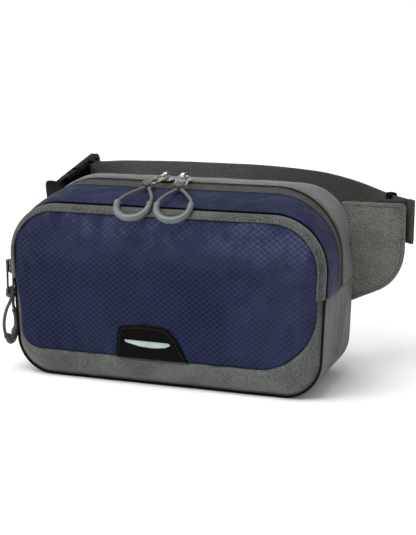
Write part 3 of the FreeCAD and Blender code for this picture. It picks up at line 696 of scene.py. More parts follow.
# --- camera ---
CAMERA_AIM = (39.0, -46.0, 102.7)
CAMERA_AZIMUTH = 19.76  # degrees to the right of the front
CAMERA_ELEVATION = 11.34
CAMERA_DISTANCE = 1000.6
CAMERA_LENS = 83.3


def look_along(made, direction):
    """Turns a camera or a lamp to look along a direction."""
    made.rotation_mode = "QUATERNION"
    made.rotation_quaternion = Vector(direction).to_track_quat("-Z", "Y")


def add_camera():
    azimuth, elevation = math.radians(CAMERA_AZIMUTH), math.radians(CAMERA_ELEVATION)
    level = math.cos(elevation)
    back = Vector((math.sin(azimuth) * level, -math.cos(azimuth) * level, math.sin(elevation)))
    data = bpy.data.cameras.new("camera")
    data.lens = CAMERA_LENS
    data.sensor_width = 36.0
    camera = add_object("camera", data)
    camera.location = (Vector(CAMERA_AIM) + back * CAMERA_DISTANCE) * MM
    look_along(camera, -back)
    bpy.context.scene.camera = camera


add_camera()

# --- zip pulls: cords and grips ---
RING_REACH = 22.7  # from a slider's wire along its ring
RING_END = 21.7  # where the cord goes round the ring
LEG_REACH = 36.0  # from the ring to the grip's tips
GRIP_REACH = 16.8  # from its tips to its belly
GRIP_R = 3.1
GRIP_HALF = 14.0  # half the distance between its tips
CORD_R = 1.4
WRAP = 2.35  # from the ring's wire to the cord round it
MAIN_WIRE_Z = 169.0
MAIN_SLOPES = (12.0, 17.0, 42.0)  # degrees under level, of the ring, the legs and the grip
# a leg's route from its tip to the hitch: across the pull, along it and out of it
MAIN_LEG = ((13.3, 51.6, 0.0), (8.6, 41.5, 0.0), (3.8, 31.5, -1.0))
POCKET_WIRE = (-142.3545, -44.7, 91.831)
POCKET_LEGS = (
    ((17.2, 53.6, 0.0), (17.5, 44.5, 0.0), (11.5, 36.0, 0.0), (4.2, 30.5, -1.0)),
    ((4.5, 36.6, 0.0), (2.2, 31.5, -1.0)),
)
HITCH = (  # each leg's way on, through the hitch and round the ring
    (1.5, 26.2, -1.7),
    (1.5, RING_END - WRAP, -WRAP),
    (2.2, RING_END - WRAP, WRAP),
    (2.4, RING_END + 5.0, 1.5),
)


class Spine:
    """The line that a pull follows: straight stretches, each with its own slope under level and yaw."""

    def __init__(self, origin, across, ahead, slopes, yaws):
        self.origin, across, ahead, up = (np.array(v, float) for v in (origin, across, ahead, (0, 0, 1)))
        self.stretches = []
        for length, slope, yaw in zip((RING_REACH, LEG_REACH, GRIP_REACH + 10), slopes, yaws):
            turn, drop = math.radians(yaw), math.radians(slope)
            level = ahead * math.cos(turn) + across * math.sin(turn)
            side = across * math.cos(turn) - ahead * math.sin(turn)
            run = level * math.cos(drop) - up * math.sin(drop)
            self.stretches.append((length, side, run, level * math.sin(drop) + up * math.cos(drop)))

    def at(self, u, v, h=0.0):
        """The point u across the pull, v along it and h out of it."""
        point, left = self.origin, v
        for length, side, run, normal in self.stretches:
            if left < length - 1e-6:
                break
            point, left = point + run * length, left - length
        return point + run * left + normal * h + side * u


def smooth_line(name, points):
    """Points along the NURBS curve that has these control points."""
    data = bpy.data.curves.new(name, "CURVE")
    data.dimensions = "3D"
    data.resolution_u = 12
    spline = data.splines.new("NURBS")
    spline.points.add(len(points) - 1)
    for point, place in zip(spline.points, points):
        point.co = (*(np.array(place) * MM), 1.0)
    spline.order_u = 3
    spline.use_endpoint_u = True
    made = add_object(name, data)
    mesh = bpy.data.meshes.new_from_object(made.evaluated_get(bpy.context.evaluated_depsgraph_get()))
    line = np.array([v.co for v in mesh.vertices]) / MM
    bpy.data.objects.remove(made)
    bpy.data.meshes.remove(mesh)
    return line


def braid_profile(line):
    """Circles along a cord whose edge rises and falls with the strands of its braid."""
    angle = around(20)
    along = run_lengths(line)[:, None]
    strands = np.maximum(np.cos(4 * angle + along * 1.5), np.cos(4 * angle - along * 1.5 + 0.8))
    radius = CORD_R * (0.965 + 0.05 * strands)
    return np.stack([np.cos(angle) * radius, np.sin(angle) * radius], -1)


def grip_piece(name, on_grip, look):
    """A moulded crescent: a tube bent to a U, fullest at its belly, with a rounded lip at each tip."""
    bend, lip = GRIP_HALF - 0.5, -0.8
    corners = [(GRIP_HALF, lip), (GRIP_HALF, GRIP_REACH), (-GRIP_HALF, GRIP_REACH), (-GRIP_HALF, lip)]
    flat = resample(rounded(corners, [0, bend, bend, 0], closed=False, step=0.8), 90)
    line = np.array([on_grip(u, v) for u, v in flat])
    t = np.linspace(0, 1, len(line))
    from_tip = np.minimum(t, 1 - t) * run_lengths(line)[-1]
    size = 0.82 + 0.2 * np.sin(math.pi * t) ** 0.8
    size = size + 0.07 * bell(from_tip - 2.2, 1.1) - 0.05 * bell(from_tip - 4.4, 0.9)
    size = size * np.sqrt(np.clip(1 - (1 - np.clip(from_tip / 1.6, 0, 1)) ** 2, 0.12, 1))
    return sweep(name, line, circle(GRIP_R, 24, 0.94), look, scale=size)


def pull(name, spine, middle, lean, legs, looks):
    """One pull's cord and grip, round the CAD ring. middle is between the grip's tips, lean its turn."""
    c, s = math.cos(math.radians(lean)), math.sin(math.radians(lean))

    def on_grip(u, v):
        return spine.at(middle[0] + u * c - v * s, middle[1] + u * s + v * c)

    halves = []
    for side, leg in zip((1, -1), legs):
        route = [spine.at(side * u, v, h) for u, v, h in (*leg, *HITCH)]
        halves.append([on_grip(side * GRIP_HALF, 0.0), *route])
    line = smooth_line(name + "_route", [*halves[0], *reversed(halves[1])])
    cord = sweep(name + "_braid", line, braid_profile(line), looks[0])
    settle(cord, name, "cord_grey", name + "_cord")
    grip = grip_piece(name + "_crescent", on_grip, looks[1])
    settle(grip, name, "grip_grey", name + "_grip")
    turns = np.linspace(-0.62, 0.62, 60) * 2 * math.pi
    wrap = [spine.at(4.1 * math.sin(t), RING_END + 3.2 + 0.4 * t, 2.9 * math.cos(t)) for t in turns]
    hitch = sweep(name + "_hitch", np.array(wrap), circle(CORD_R), looks[0])
    settle(hitch, name, "cord_grey")
    halves[0][0] * MM
    print(name, "cord length", run_lengths(line)[-1])


MAIN_TIPS = (0.0, RING_REACH + LEG_REACH)
for side_name, x, yaws in (("left", -17.0, (-21.0, 2.3, 2.3)), ("right", -1.0, (12.1, 13.2, 6.0))):
    spine = Spine((x, ZIP_Y, MAIN_WIRE_Z), (1, 0, 0), (0, -1, 0), MAIN_SLOPES, yaws)
    pull("main_pull_" + side_name, spine, MAIN_TIPS, 0.0, (MAIN_LEG, MAIN_LEG), (CORD, GRIP))
spine = Spine(POCKET_WIRE, (0, -1, 0), (-1, 0, 0), (90.0, 90.0, 90.0), (0.0, 7.0, 14.0))
pull("pocket_pull", spine, (3.0, 49.4), 40.0, POCKET_LEGS, (CORD_DARK, GRIP_DARK))


# --- front face ---
def on_front(flat, lift=0.0):
    """Flat (x, z) points carried onto the crowned front, and forward of it by lift."""
    return at_depth(flat, FRONT_Y - crown(flat) - lift)


def front_sheet(name, points, faces, lift, look, thick, slot, node):
    """A sheet of the front from its flat points and faces."""
    made = mesh_object(name, on_front(points, lift), faces, look, points)
    face_away(made, (0, 0, 80))
    thicken(made, thick)
    settle(made, "bag", slot, node)


PATCH_CORNERS = ((-38.0, 24.3), (26.0, 24.3), (15.0, 44.5), (7.0, 51.8), (-13.0, 53.6), (-35.4, 51.4))
PATCH_RADII = (0.0, 0.0, 9.0, 8.0, 22.0, 6.0)
PATCH_MIDDLE = np.array((-8.0, 24.3))  # of its lower edge
SLOT_CORNERS = (
    (-30.8, 39.7), (-29.6, 37.9), (-17.0, 34.9), (-5.0, 34.2), (6.0, 35.4), (11.2, 37.8), (9.0, 39.3),
)
SLOT_RADII = (0.7, 1.0, 9.0, 9.0, 5.0, 1.0, 1.0)


def front_folds(flat, edge):
    """Soft folds of the stuffed front: broad dents, and puckers that fade away from its seam."""
    x, z = flat[:, 0], flat[:, 1]
    broad = 2.2 * ripple(x / 75, z / 55, 5) + 1.1 * ripple(x / 34 + z / 70, z / 38, 8)
    puckers = 2.2 * bell(edge, 17) * ripple(x / 10 + z / 55, z / 34, 3)
    top = smooth((z - 86) / 36) * smooth((40 - x) / 70)
    slanted = 3.4 * top * ripple((x + z * 0.75) / 12, (z - x * 0.4) / 60, 9)
    right = 1.8 * smooth((x - 50) / 40) * ripple((x - z * 0.35) / 15, z / 80, 12)
    return (broad + slanted + right) * smooth(edge / 16) + puckers * smooth(edge / 3)


def front_panel():
    points, faces, edge = cut_ring(blue_ring(4.4, 0.7), 1.5)
    under = smooth(depth_in(points, rounded(PATCH_CORNERS, PATCH_RADII)) / 2)
    lift = front_folds(points, edge) * (1 - under) - 0.9 * under - 2.0 * bell(edge, 1.3)
    front_sheet("front_pocket_fabric", points, faces, lift, NAVY, 1.0, "ripstop_blue", "front_panel_blue")


def lower_panel():
    outer, hole = outline(FRONT_Y, 1.2), blue_ring(4.2, 0.5)
    bounds = (lambda p: depth_in(p, outer), lambda p: -depth_in(p, hole), lambda p: SEAM_Z - p[:, 1])
    points, faces = cut_sheet(lambda p: np.min([bound(p) for bound in bounds], 0), outer, 1.3)
    seam = -depth_in(points, hole)
    x, z = points[:, 0], points[:, 1]
    folds = 0.5 * ripple(x / 26, z / 18, 21) + 0.35 * ripple((x + z) / 9, (x - z) / 40, 22)
    lift = folds * smooth(seam / 8) + 0.35 - 1.8 * bell(seam, 1.1)
    front_sheet("front_lower_fabric", points, faces, lift, GREY, 1.0, "fabric_grey", "front_panel_base")


BAND_PROFILE = (  # (in from the outline, forward of the seam) round the folded band
    (1.6, 0.0), (0.5, 0.2), (0.2, 1.6), (0.4, 3.6), (0.9, 5.6), (1.8, 7.4), (3.1, 8.9), (4.5, 9.7),
    (5.6, 9.7), (6.1, 9.0), (5.7, 8.0), (4.4, 6.6), (3.2, 4.4), (2.3, 2.0),
)


def band_line(inset, forward, count=330):
    return at_depth(resample(arch(FRONT_Y, inset), count), FRONT_Y - forward)


def band():
    """The grey band that frames the front above its side seams, with a row of stitches on it."""
    points = np.stack([band_line(*place) for place in BAND_PROFILE], 1)
    along = run_lengths(points[:, 0])
    crest = slice(5, 11)  # the profile's foremost points, which ripple
    points[:, crest, 1] -= (0.3 * ripple(along / 22, 0.0, 31) + 0.15 * ripple(along / 7, 0.0, 32))[:, None]
    made = tube("front_band_fabric", points, BAND_GREY, along, run_lengths(np.array(BAND_PROFILE)))
    tidy_normals(made)
    settle(made, "bag", "fabric_grey", "pocket_top_band")
    stitch_row("band_stitches", band_line(4.7, 9.75), (0, -1, 0), THREAD_GREY, "fabric_grey", thick=0.45)


def piping():
    line = at_depth(resample(cradle(FRONT_Y, PIPING_SHOWN), 300), FRONT_Y - PIPING_SHOWN)
    along = run_lengths(line)
    size = 1 + 0.05 * np.sin(along * 2.1) * ripple(along / 9, 0.0, 41)
    made = sweep("front_piping_cord", line, circle(PIPING_SHOWN, 14), PIPING, scale=size)
    settle(made, "bag", "piping_black", "front_piping")


front_panel()
lower_panel()
band()
piping()


# --- walls and zips ---
def draw_in(points):
    """Pulls the upper corners of the back in a little, where the stuffing does not reach them."""
    x, y, z = points.T
    share = smooth((np.abs(x) - 70) / 60) * smooth((z - SEAM_Z) / 34) * smooth((y + 4) / 40)
    return points - np.stack([np.sign(x) * 5.0 * share, 0 * x, 1.5 * share], 1)


def on_wall(path, y, count, lift=0.0):
    """A line on the bag's wall at depth y, with its outward normals."""
    flat = draw_in(at_depth(resample(path(y), count), y))[:, [0, 2]]
    tangent = unit(np.gradient(flat, axis=0))
    out = np.stack([tangent[:, 1], -tangent[:, 0]], 1)
    if (out * (flat - (0, SEAM_Z))).sum() < 0:
        out = -out
    return at_depth(flat + out * np.reshape(lift, (-1, 1)), y), at_depth(out, 0.0)


def wall_strip(name, path, y0, y1, look, slot, node, lift, step=2.0, thick=1.0):
    """A strip of the wall between two depths. lift(along, y, z) is how far it stands out of the outline."""
    rows = max(3, round((y1 - y0) / step) + 1)
    count = round(run_lengths(path((y0 + y1) / 2))[-1] / step) + 1
    points, uv = [], []
    for y in np.linspace(y0, y1, rows):
        line, out = on_wall(path, y, count)
        along = run_lengths(line)
        points.append(line + out * np.reshape(lift(along, y, line[:, 2]), (-1, 1)))
        uv.append(np.stack([along, np.full(count, y)], 1))
    made = mesh_object(name, np.concatenate(points), grid_faces(rows, count), look, np.concatenate(uv))
    face_away(made, (0, (y0 + y1) / 2, 70))
    thicken(made, thick)
    settle(made, "bag", slot, node)


def hem(distance, height=0.6, width=1.3):
    """A folded edge: up by height, and down again at its very end."""
    return height * smooth(distance / 0.8) * bell(distance - 1.2, width) - 0.5 * bell(distance, 0.7)


def arched(y, y0, y1):
    """0 at depths y0 and y1, rising to 1 half way between them."""
    return np.sin(math.pi * np.clip((y - y0) / (y1 - y0), 0, 1))


def divider_lift(along, y, z):
    belly = arched(y, POCKET_COIL_BACK, TAPE_FRONT)
    folds = 0.9 * ripple(along / 16 + y / 22, y / 13, 51) + 0.5 * ripple(along / 7 - y / 9, y / 16, 52)
    return 1.5 * belly**0.8 + folds * belly + hem(TAPE_FRONT + TURN_UNDER - y, 0.8) + 0.2


def tape_lift(along, y, z):
    return -0.25 + 0.25 * ripple(along / 14, y / 30, 53) * bell(y - (TAPE_FRONT + ZIP_Y) / 2, 5)


def rear_lift(along, y, z):
    belly = arched(y, TAPE_BACK, BACK_Y)
    puff = (0.4 + 1.8 * smooth((z - 128) / 22)) * belly**0.9
    folds = 0.7 * ripple(along / 30, y / 26, 54) + 0.3 * ripple(along / 9 + y / 14, y / 20, 55)
    return puff + folds * belly + hem(y - TAPE_BACK + TURN_UNDER, 1.3, 2.0)


def bottom_lift(along, y, z):
    """Creases down the two sides. The base stays flat, because the bag stands on it."""
    upright = smooth((z - 10) / 24)
    across = np.sin(math.pi * (y - FRONT_Y) / (BACK_Y - FRONT_Y))
    top = SEAM_Z - z
    crease = 2.4 * bell(y - (12 - top * 0.2), 3.0) + 1.9 * bell(y - (31 - top * 0.34), 2.6)
    dent = -2.2 * bell(y - (22 - top * 0.26), 4.6) - 1.4 * bell(y + 18 - top * 0.1, 9)
    folds = 0.5 * ripple(y / 9 + z / 50, z / 26, 56)
    return (crease + dent + folds) * across * upright * smooth(top / 22) + hem(top, 0.9, 1.6) * upright


TURN_UNDER = 0.6  # of a wall's hem past the edge of the main zip's tape
WALLS = (  # name, path, depths from and to, look, slot, CAD node, lift, step and thickness
    (
        "divider_strip_fabric", arch, POCKET_COIL_BACK, TAPE_FRONT + TURN_UNDER, NAVY_WALL,
        "ripstop_blue", "divider_gusset", divider_lift, 1.6, 1.0,
    ),
    (
        "zip_tape_front", arch, TAPE_FRONT - 1, COIL_FRONT + 0.4, TAPE,
        "zip_tape", "main_zip_front_tape", tape_lift, 2.0, 0.8,
    ),
    # the rear tape is painted near black: partly its own dark colour, partly painted shade of the zip's gap
    (
        "zip_tape_rear", arch, COIL_BACK - 0.4, TAPE_BACK + 1, GAP_SHADE,
        "zip_tape", "main_zip_rear_tape", tape_lift, 2.0, 0.8,
    ),
    (
        "rear_gusset_fabric", arch, TAPE_BACK - TURN_UNDER, BACK_Y + 0.4, REAR_GREY,
        "fabric_grey", "rear_gusset", rear_lift, 1.6, 1.0,
    ),
    (
        "bottom_gusset_fabric", cradle, FRONT_Y, BACK_Y + 0.4, GREY,
        "fabric_grey", "bottom_gusset", bottom_lift, 2.0, 1.0,
    ),
)


def zip_chain(name, y, half, recess, look, node):
    """A coil zip: a floor painted near black as the shade in its gap, and one row of coil turns on each side
    of its middle.
    """

    def floor_lift(along, depth, z):
        return -recess - 0.7 + 0 * along

    wall_strip(name + "_floor", arch, y - half, y + half, GAP_SHADE, "zip_coil", node, floor_lift, 1.0, 0.5)
    count = round(run_lengths(arch(y))[-1] / 1.5)
    shape = dict(pitch=1.3, length=half * 0.95, thick=0.95, sink=0.75, across=True)
    for side, sign in (("front", -1), ("rear", 1)):
        line, out = on_wall(arch, y + sign * (half * 0.5 + 0.12), count, -recess)
        stitch_row(f"{name}_{side}_teeth", line, out, look, "zip_coil", **shape)


def wall_stitches(name, y, lift, look):
    """A row of stitches round the arch at depth y, on a wall of that lift."""
    line, out = on_wall(arch, y, round(run_lengths(arch(y))[-1] / 2))
    line = line + out * (lift(run_lengths(line), y, line[:, 2]) + 0.05)[:, None]
    stitch_row(name, line, out, look, "fabric_grey", thick=0.45)


for wall in WALLS:
    wall_strip(*wall)
zip_chain("main_zip_chain", ZIP_Y, 3.0, 0.0, COIL, "main_zip_coil")
# the pocket zip's coil turns are painted near black: a dark coil with painted shade over it
zip_chain("pocket_zip_chain", (FRONT_Y + POCKET_COIL_BACK) / 2, 1.3, 0.9, GAP_SHADE, "pocket_zip_coil")
wall_stitches("divider_stitches", TAPE_FRONT - 1.4, divider_lift, THREAD_DARK)
wall_stitches("rear_stitches", TAPE_BACK + 1.6, rear_lift, THREAD_GREY)


def inner_wall():
    """The lining that closes the front pocket off from the main compartment."""
    points, faces, edge = cut_ring(outline(FRONT_Y, 3.0), 5.0)
    waves = 1.2 * ripple(points[:, 0] / 50, points[:, 1] / 40, 61) * smooth(edge / 20)
    placed = at_depth(points, cad("inner_divider")[1][1] + waves)
    made = mesh_object("pocket_wall_lining", placed, faces, LINING, points)
    thicken(made, 0.8)
    settle(made, "bag", "lining", "inner_divider")


inner_wall()


# --- light patch ---
def patch_lift(points, ring, slot):
    """The patch's surface: rounded at its edges and at the slot, with a groove for the stitches."""
    outer, inner = depth_in(points, ring), -depth_in(points, slot)
    edge = np.minimum(outer, inner)
    roll = np.sqrt(np.clip(1 - (1 - np.clip(edge / 1.3, 0, 1)) ** 2, 0, 1))
    return 0.5 + 1.4 * roll - 0.35 * bell(outer - 2.4, 0.7) - 0.25 * bell(inner - 1.9, 0.6)


def light_patch():
    ring, slot = rounded(PATCH_CORNERS, PATCH_RADII), rounded(SLOT_CORNERS, SLOT_RADII, step=0.5)
    points, faces = cut_sheet(lambda p: np.minimum(depth_in(p, ring), -depth_in(p, slot)), ring, 0.7)
    lift = patch_lift(points, ring, slot)
    front_sheet("light_patch_moulding", points, faces, lift, PATCH, 1.5, "patch_black", "light_patch")
    points, faces = cut_sheet(lambda p: depth_in(p, slot) + 0.8, slot, 0.7)
    lift = 0.75 - 0.02 * (points[:, 1] - slot[:, 1].mean()) ** 2
    front_sheet("light_patch_insert", points, faces, lift, STRIP, 0.6, "patch_strip", "light_patch_strip")
    inner = [PATCH_MIDDLE + (np.array(c) - PATCH_MIDDLE) * (0.925, 0.915) for c in PATCH_CORNERS]
    inner = [inner[0], *inner[:1:-1], inner[1]]  # from one end of the lower edge over the top to the other
    flat = resample(rounded(inner, [0, *PATCH_RADII[:1:-1], 0], closed=False), 90)
    line = on_front(flat, patch_lift(flat, ring, slot))
    stitch_row("patch_stitches", line, (0, -1, 0.15), THREAD_BLACK, "patch_black", pitch=3.0, length=2.2)


light_patch()


# --- padded pieces ---
def pillow(name, points, faces, place, looks):
    """A closed form from a flat sheet: place(points, side) is its face for side 0 and its back for side 1."""
    count = len(points)
    edges = {}
    for face in faces:
        for a, b in zip(face, face[1:] + face[:1]):
            edges[(a, b)] = edges.get((b, a), 0) + 1
    rim = [(a, b) for (a, b), met in edges.items() if met == 1 and (b, a) not in edges]
    back = [[v + count for v in face[::-1]] for face in faces]
    walls = [(b, a, a + count, b + count) for a, b in rim]
    placed = np.concatenate([place(points, 0), place(points, 1)])
    made = mesh_object(name, placed, faces + back + walls, looks[0], np.concatenate([points, points]))
    made.data.materials.append(looks[1])
    first, last = len(faces), len(faces) + len(back)
    for polygon in made.data.polygons[first:last]:
        polygon.material_index = 1
    tidy_normals(made)
    return made


def inflate(made, pinned, pressure, cap, steps=20):
    """Blows a sewn form up as cloth with its pinned points held, and applies the result up to cap."""
    rest = np.array([v.co for v in made.data.vertices])
    group = made.vertex_groups.new(name="pins")
    group.add([int(i) for i in np.nonzero(pinned)[0]], 1.0, "REPLACE")
    modifier = made.modifiers.new("cloth", "CLOTH")
    settings = modifier.settings
    settings.quality = 6
    settings.mass = 0.15
    settings.vertex_group_mass = "pins"
    settings.use_pressure = True
    settings.uniform_pressure_force = pressure
    settings.effector_weights.gravity = 0.0
    modifier.point_cache.frame_start = 1
    modifier.point_cache.frame_end = steps
    scene = bpy.context.scene
    for step in range(1, steps + 1):
        scene.frame_set(step)
    shown = made.evaluated_get(bpy.context.evaluated_depsgraph_get()).to_mesh()
    moved = np.array([v.co for v in shown.vertices]) - rest
    size = np.linalg.norm(moved, axis=1)
    print(made.name, "moved at most", size.max() / MM, "mm, on average", size.mean() / MM)
    moved *= np.minimum(1.0, cap * MM / np.maximum(size, 1e-9))[:, None]
    made.modifiers.remove(modifier)
    made.vertex_groups.remove(group)
    made.data.vertices.foreach_set("co", (rest + moved).astype(np.float32).ravel())
    made.data.update()
    scene.frame_set(1)


def refine(made):
    """One level of smoothing, at render and on screen alike."""
    modifier = made.modifiers.new("smooth", "SUBSURF")
    modifier.levels = modifier.render_levels = 1


BACK_CHANNELS = (-52.0, 52.0)  # upright sewn channels of the back panel
BACK_EDGE = 13.0  # the sewn line that runs round inside its edge
BACK_INSET = 0.3  # of the panel inside the bag's outline
BACK_STITCH_OUT = 2.6  # of its stitches, behind the bag's back seam


def back_panel():
    """The padded back: spacer mesh over foam, quilted along two channels and a line round its edge."""
    points, faces, edge = cut_ring(outline(BACK_Y, BACK_INSET), 3.2)
    channel = np.abs(points[:, :1] - np.array(BACK_CHANNELS)).min(1) + np.where(edge > BACK_EDGE, 0, 99)
    sewn = np.minimum(np.abs(edge - BACK_EDGE), channel)

    def place(flat, side):
        thick = 4.2 * (1 - np.exp(-edge / 3.0)) - 2.6 * bell(sewn, 3.2)
        return draw_in(at_depth(flat, BACK_Y + 0.1 + (np.maximum(thick, 0.4) + 0.4 if side == 0 else 0.0)))

    made = pillow("back_panel_pad", points, faces, place, (SPACER, LINING))
    held = np.concatenate([(edge < 2.0) | (sewn < 1.7), np.full(len(points), True)])  # the back is all held
    inflate(made, held, 4.0, 1.6)
    refine(made)
    settle(made, "bag", "mesh_dark", "back_panel_mesh", "back_foam")
    low, high = BACK_EDGE + 2, BACK_HEIGHT - BACK_EDGE - 2
    y = BACK_Y + BACK_STITCH_OUT
    for side, x in zip(("left", "right"), BACK_CHANNELS):
        line = at_depth(resample([(x, low), (x, high)], 60), y)
        stitch_row(f"back_channel_stitches_{side}", line, (0, 1, 0), THREAD_DARK, "mesh_dark")
    line = draw_in(at_depth(resample(outline(BACK_Y, BACK_INSET + BACK_EDGE), 320), y))
    stitch_row("back_edge_stitches", line, (0, 1, 0), THREAD_DARK, "mesh_dark")


WING_ROOT = (126.0, 45.3)  # (x, y) of the right wing's outer face where it leaves the bag
WING_REACH = 52.2  # that the belt's places on the wings are measured from
WING_SHOWN = {"right": (55.0, -1.0), "left": (45.0, -13.0)}  # reach, and fall of the top edge to the tip
WING_SWEEP = {"right": 16.7, "left": 35.0}  # degrees backwards
WING_Z = (62.0, 147.5)
WING_THICK = 4.0
WING_SEWN_IN = 8.0  # its root inside the bag's side seam
WING_SEAM = 3.6  # the sewn line, in from its edge
WING_FACE = 1.45  # from its middle to its stitches, out and in
BACK_FACE = WING_THICK + 0.2  # where webbing lies on its inner face


def wing_place(side, along, depth):
    """Plan position on a wing: along from its root, and depth in from its outer face."""
    sweep_angle = math.radians(WING_SWEEP[side])
    x = WING_ROOT[0] + along * math.cos(sweep_angle) - depth * math.sin(sweep_angle)
    y = WING_ROOT[1] + along * math.sin(sweep_angle) + depth * math.cos(sweep_angle)
    return (x if side == "right" else -x), y


def on_wing(side, flat, depth):
    """Points on a wing from flat (along, up) ones, in from its outer face by depth."""
    return np.column_stack([*wing_place(side, flat[:, 0], depth), flat[:, 1]])


def wing_inward(side):
    """The level direction from a wing's outer face to its inner one."""
    return np.array([*(np.array(wing_place(side, 0, 1)) - wing_place(side, 0, 0)), 0.0])


def wing_ring(side, inset=0.0, start=0.0, closed=True):
    """A wing's outline, along from its root and up."""
    reach, fall = WING_SHOWN[side]
    low, high = WING_Z
    corners = [(start, low - 4 + start * 0.4 + inset), (reach * 0.8, low + 13.5 + inset)]
    corners += [(reach - inset, low + 34 + inset), (reach - inset, high + fall - inset)]
    corners += [(start, high + 1 - inset)]
    return rounded(corners, [0, 34 - inset, 42 - inset, 2.5, 0], closed=closed)


def wing(side):
    """A hip wing: twill outside, spacer mesh inside, foam between, and a row of stitches near its edge."""
    points, faces, edge = cut_ring(wing_ring(side), 2.4)
    root = points[:, 0] < WING_SEWN_IN
    edge = np.where(root, 9.0, edge)
    sewn = np.abs(edge - WING_SEAM)

    def place(flat, face):
        half = 0.9 + 1.3 * (1 - np.exp(-edge / 2.5)) - 0.8 * bell(sewn, 1.6)
        folds = 0.9 * ripple(flat[:, 0] / 22, flat[:, 1] / 30, 71) * smooth(edge / 15)
        return on_wing(side, flat, WING_THICK / 2 + folds + (half if face else -half))

    made = pillow(f"wing_{side}_pad", points, faces, place, (TWILL, SPACER))
    inflate(made, np.concatenate([(edge < 1.5) | (sewn < 1.3) | root] * 2), 3.0, 0.9)
    refine(made)
    settle(made, "bag", "twill_grey", *(f"wing_{side}_{layer}" for layer in ("outer", "foam", "lining")))
    flat = resample(wing_ring(side, WING_SEAM - 0.2, WING_SEWN_IN + 2, closed=False), 150)
    for face, sign in (("outer", -1), ("inner", 1)):
        line = on_wing(side, flat, WING_THICK / 2 + sign * WING_FACE)
        stitch_row(f"wing_{side}_stitches_{face}", line, sign * wing_inward(side), THREAD_DARK, "twill_grey")


back_panel()
wing("right")
wing("left")

# --- webbing ---
# the belt's plan, as (x, y): it turns back at the right, and runs over the hip to the bag's back
BELT_TURN = (178.6, 66.5)
BELT_SHOULDER = (140.0, 110.0)
BELT_REAR_RIGHT = (70.0, 144.5)
BELT_REAR_LEFT = (-112.0, 149.0)
BELT_RADII = (4.0, 60.0, 130.0)
BELT_TOP_X = (-190.0, -60.0, 20.0, 92.0, 125.0, 146.0, 190.0)  # places with its top edge's height at each
BELT_TOP_Z = (161.0, 164.5, 164.5, 161.0, 156.0, 150.4, 149.5)
LAYER_GAP = 0.25
TAIL_OVERHANG = 4.6  # of the tail past the belt's turn
HEM = 9.5  # length folded over at the tail's end
HEM_STITCHES = (("near", 0.12), ("far", 0.8))  # places of its two rows, as shares of that length
KEEPER_AT = 29.0  # from the turn
KEEPER_HALF = 4.0  # of its width
KEEPER_THICK = 1.0
SEWN_FROM = WING_REACH - 26  # where webbing starts on a wing
BOX = (WING_REACH - 24, WING_REACH - 5, 15.0)  # its stitches, from and to along a wing, and half their height
BUCKLE_FOOT = np.array((-160.0, 96.0, 125.0))  # middle of the socket's bar
BUCKLE_END = np.array((-152.0, 162.0, 146.2))  # middle of the plug's far end
LADDER_BAR = 12.2  # from that end to the bar that the belt goes round
LEAD_FROM = -45.0  # x of a point on the belt's rear run, which is picked out but not used
LEAD_POINTS = 24  # of each layer's run from the bag to the ladder
UP = np.array((0.0, 0.0, 1.0))
BUCKLE_ALONG = unit(BUCKLE_END - BUCKLE_FOOT)
BUCKLE_ACROSS = unit(UP - BUCKLE_ALONG * BUCKLE_ALONG[2])
BUCKLE_THROUGH = np.cross(BUCKLE_ALONG, BUCKLE_ACROSS)


def belt_top(x):
    """The height of the belt's top edge at x, with its corners eased."""
    spread = np.linspace(-16, 16, 17)
    return np.interp(np.add.outer(x, spread), BELT_TOP_X, BELT_TOP_Z).mean(-1)


def ribbon(name, line, ups, look):
    """A flat strap along a line, its width along ups, with rounded edges."""
    half, edge = WEB_THICK / 2, WEBBING / 2
    face = [(half * (1 - 0.5 * abs(r) ** 12), r * (edge - 0.3)) for r in np.linspace(-1, 1, 15)]
    profile = [*face, (0.0, edge), *((-s, w) for s, w in reversed(face)), (0.0, -edge)]
    made = sweep(name, line, profile, look, up=ups, edge=[w for _, w in profile])
    tidy_normals(made)
    return made


def ease(a, b, leave, arrive, count):
    """Points on a smooth curve from a to b that leaves and arrives along two directions."""
    reach = np.linalg.norm(b - a)
    t = np.linspace(0, 1, count)[1:-1, None]
    h1, h2 = 2 * t**3 - 3 * t**2 + 1, t**3 - 2 * t**2 + t
    h3, h4 = -2 * t**3 + 3 * t**2, t**3 - t**2
    return h1 * a + h2 * leave * reach + h3 * b + h4 * arrive * reach


def flat_run(points, radii, offset=0.0, step=1.6):
    """A level polyline with rounded corners, moved to its right by offset."""
    line = rounded(points, radii, closed=False, step=1.0)
    line = resample(line, round(run_lengths(line)[-1] / step) + 1)
    run = unit(np.gradient(line, axis=0))
    return line + offset * np.stack([run[:, 1], -run[:, 0]], 1)


def with_height(flat, height):
    return np.column_stack([flat, np.broadcast_to(height, len(flat))])


def turned_ups(share):
    """Directions of a strap's width, from upright at share 0 to the buckle's own at share 1."""
    share = smooth(share)[:, None]
    return UP * (1 - share) + BUCKLE_ACROSS * share


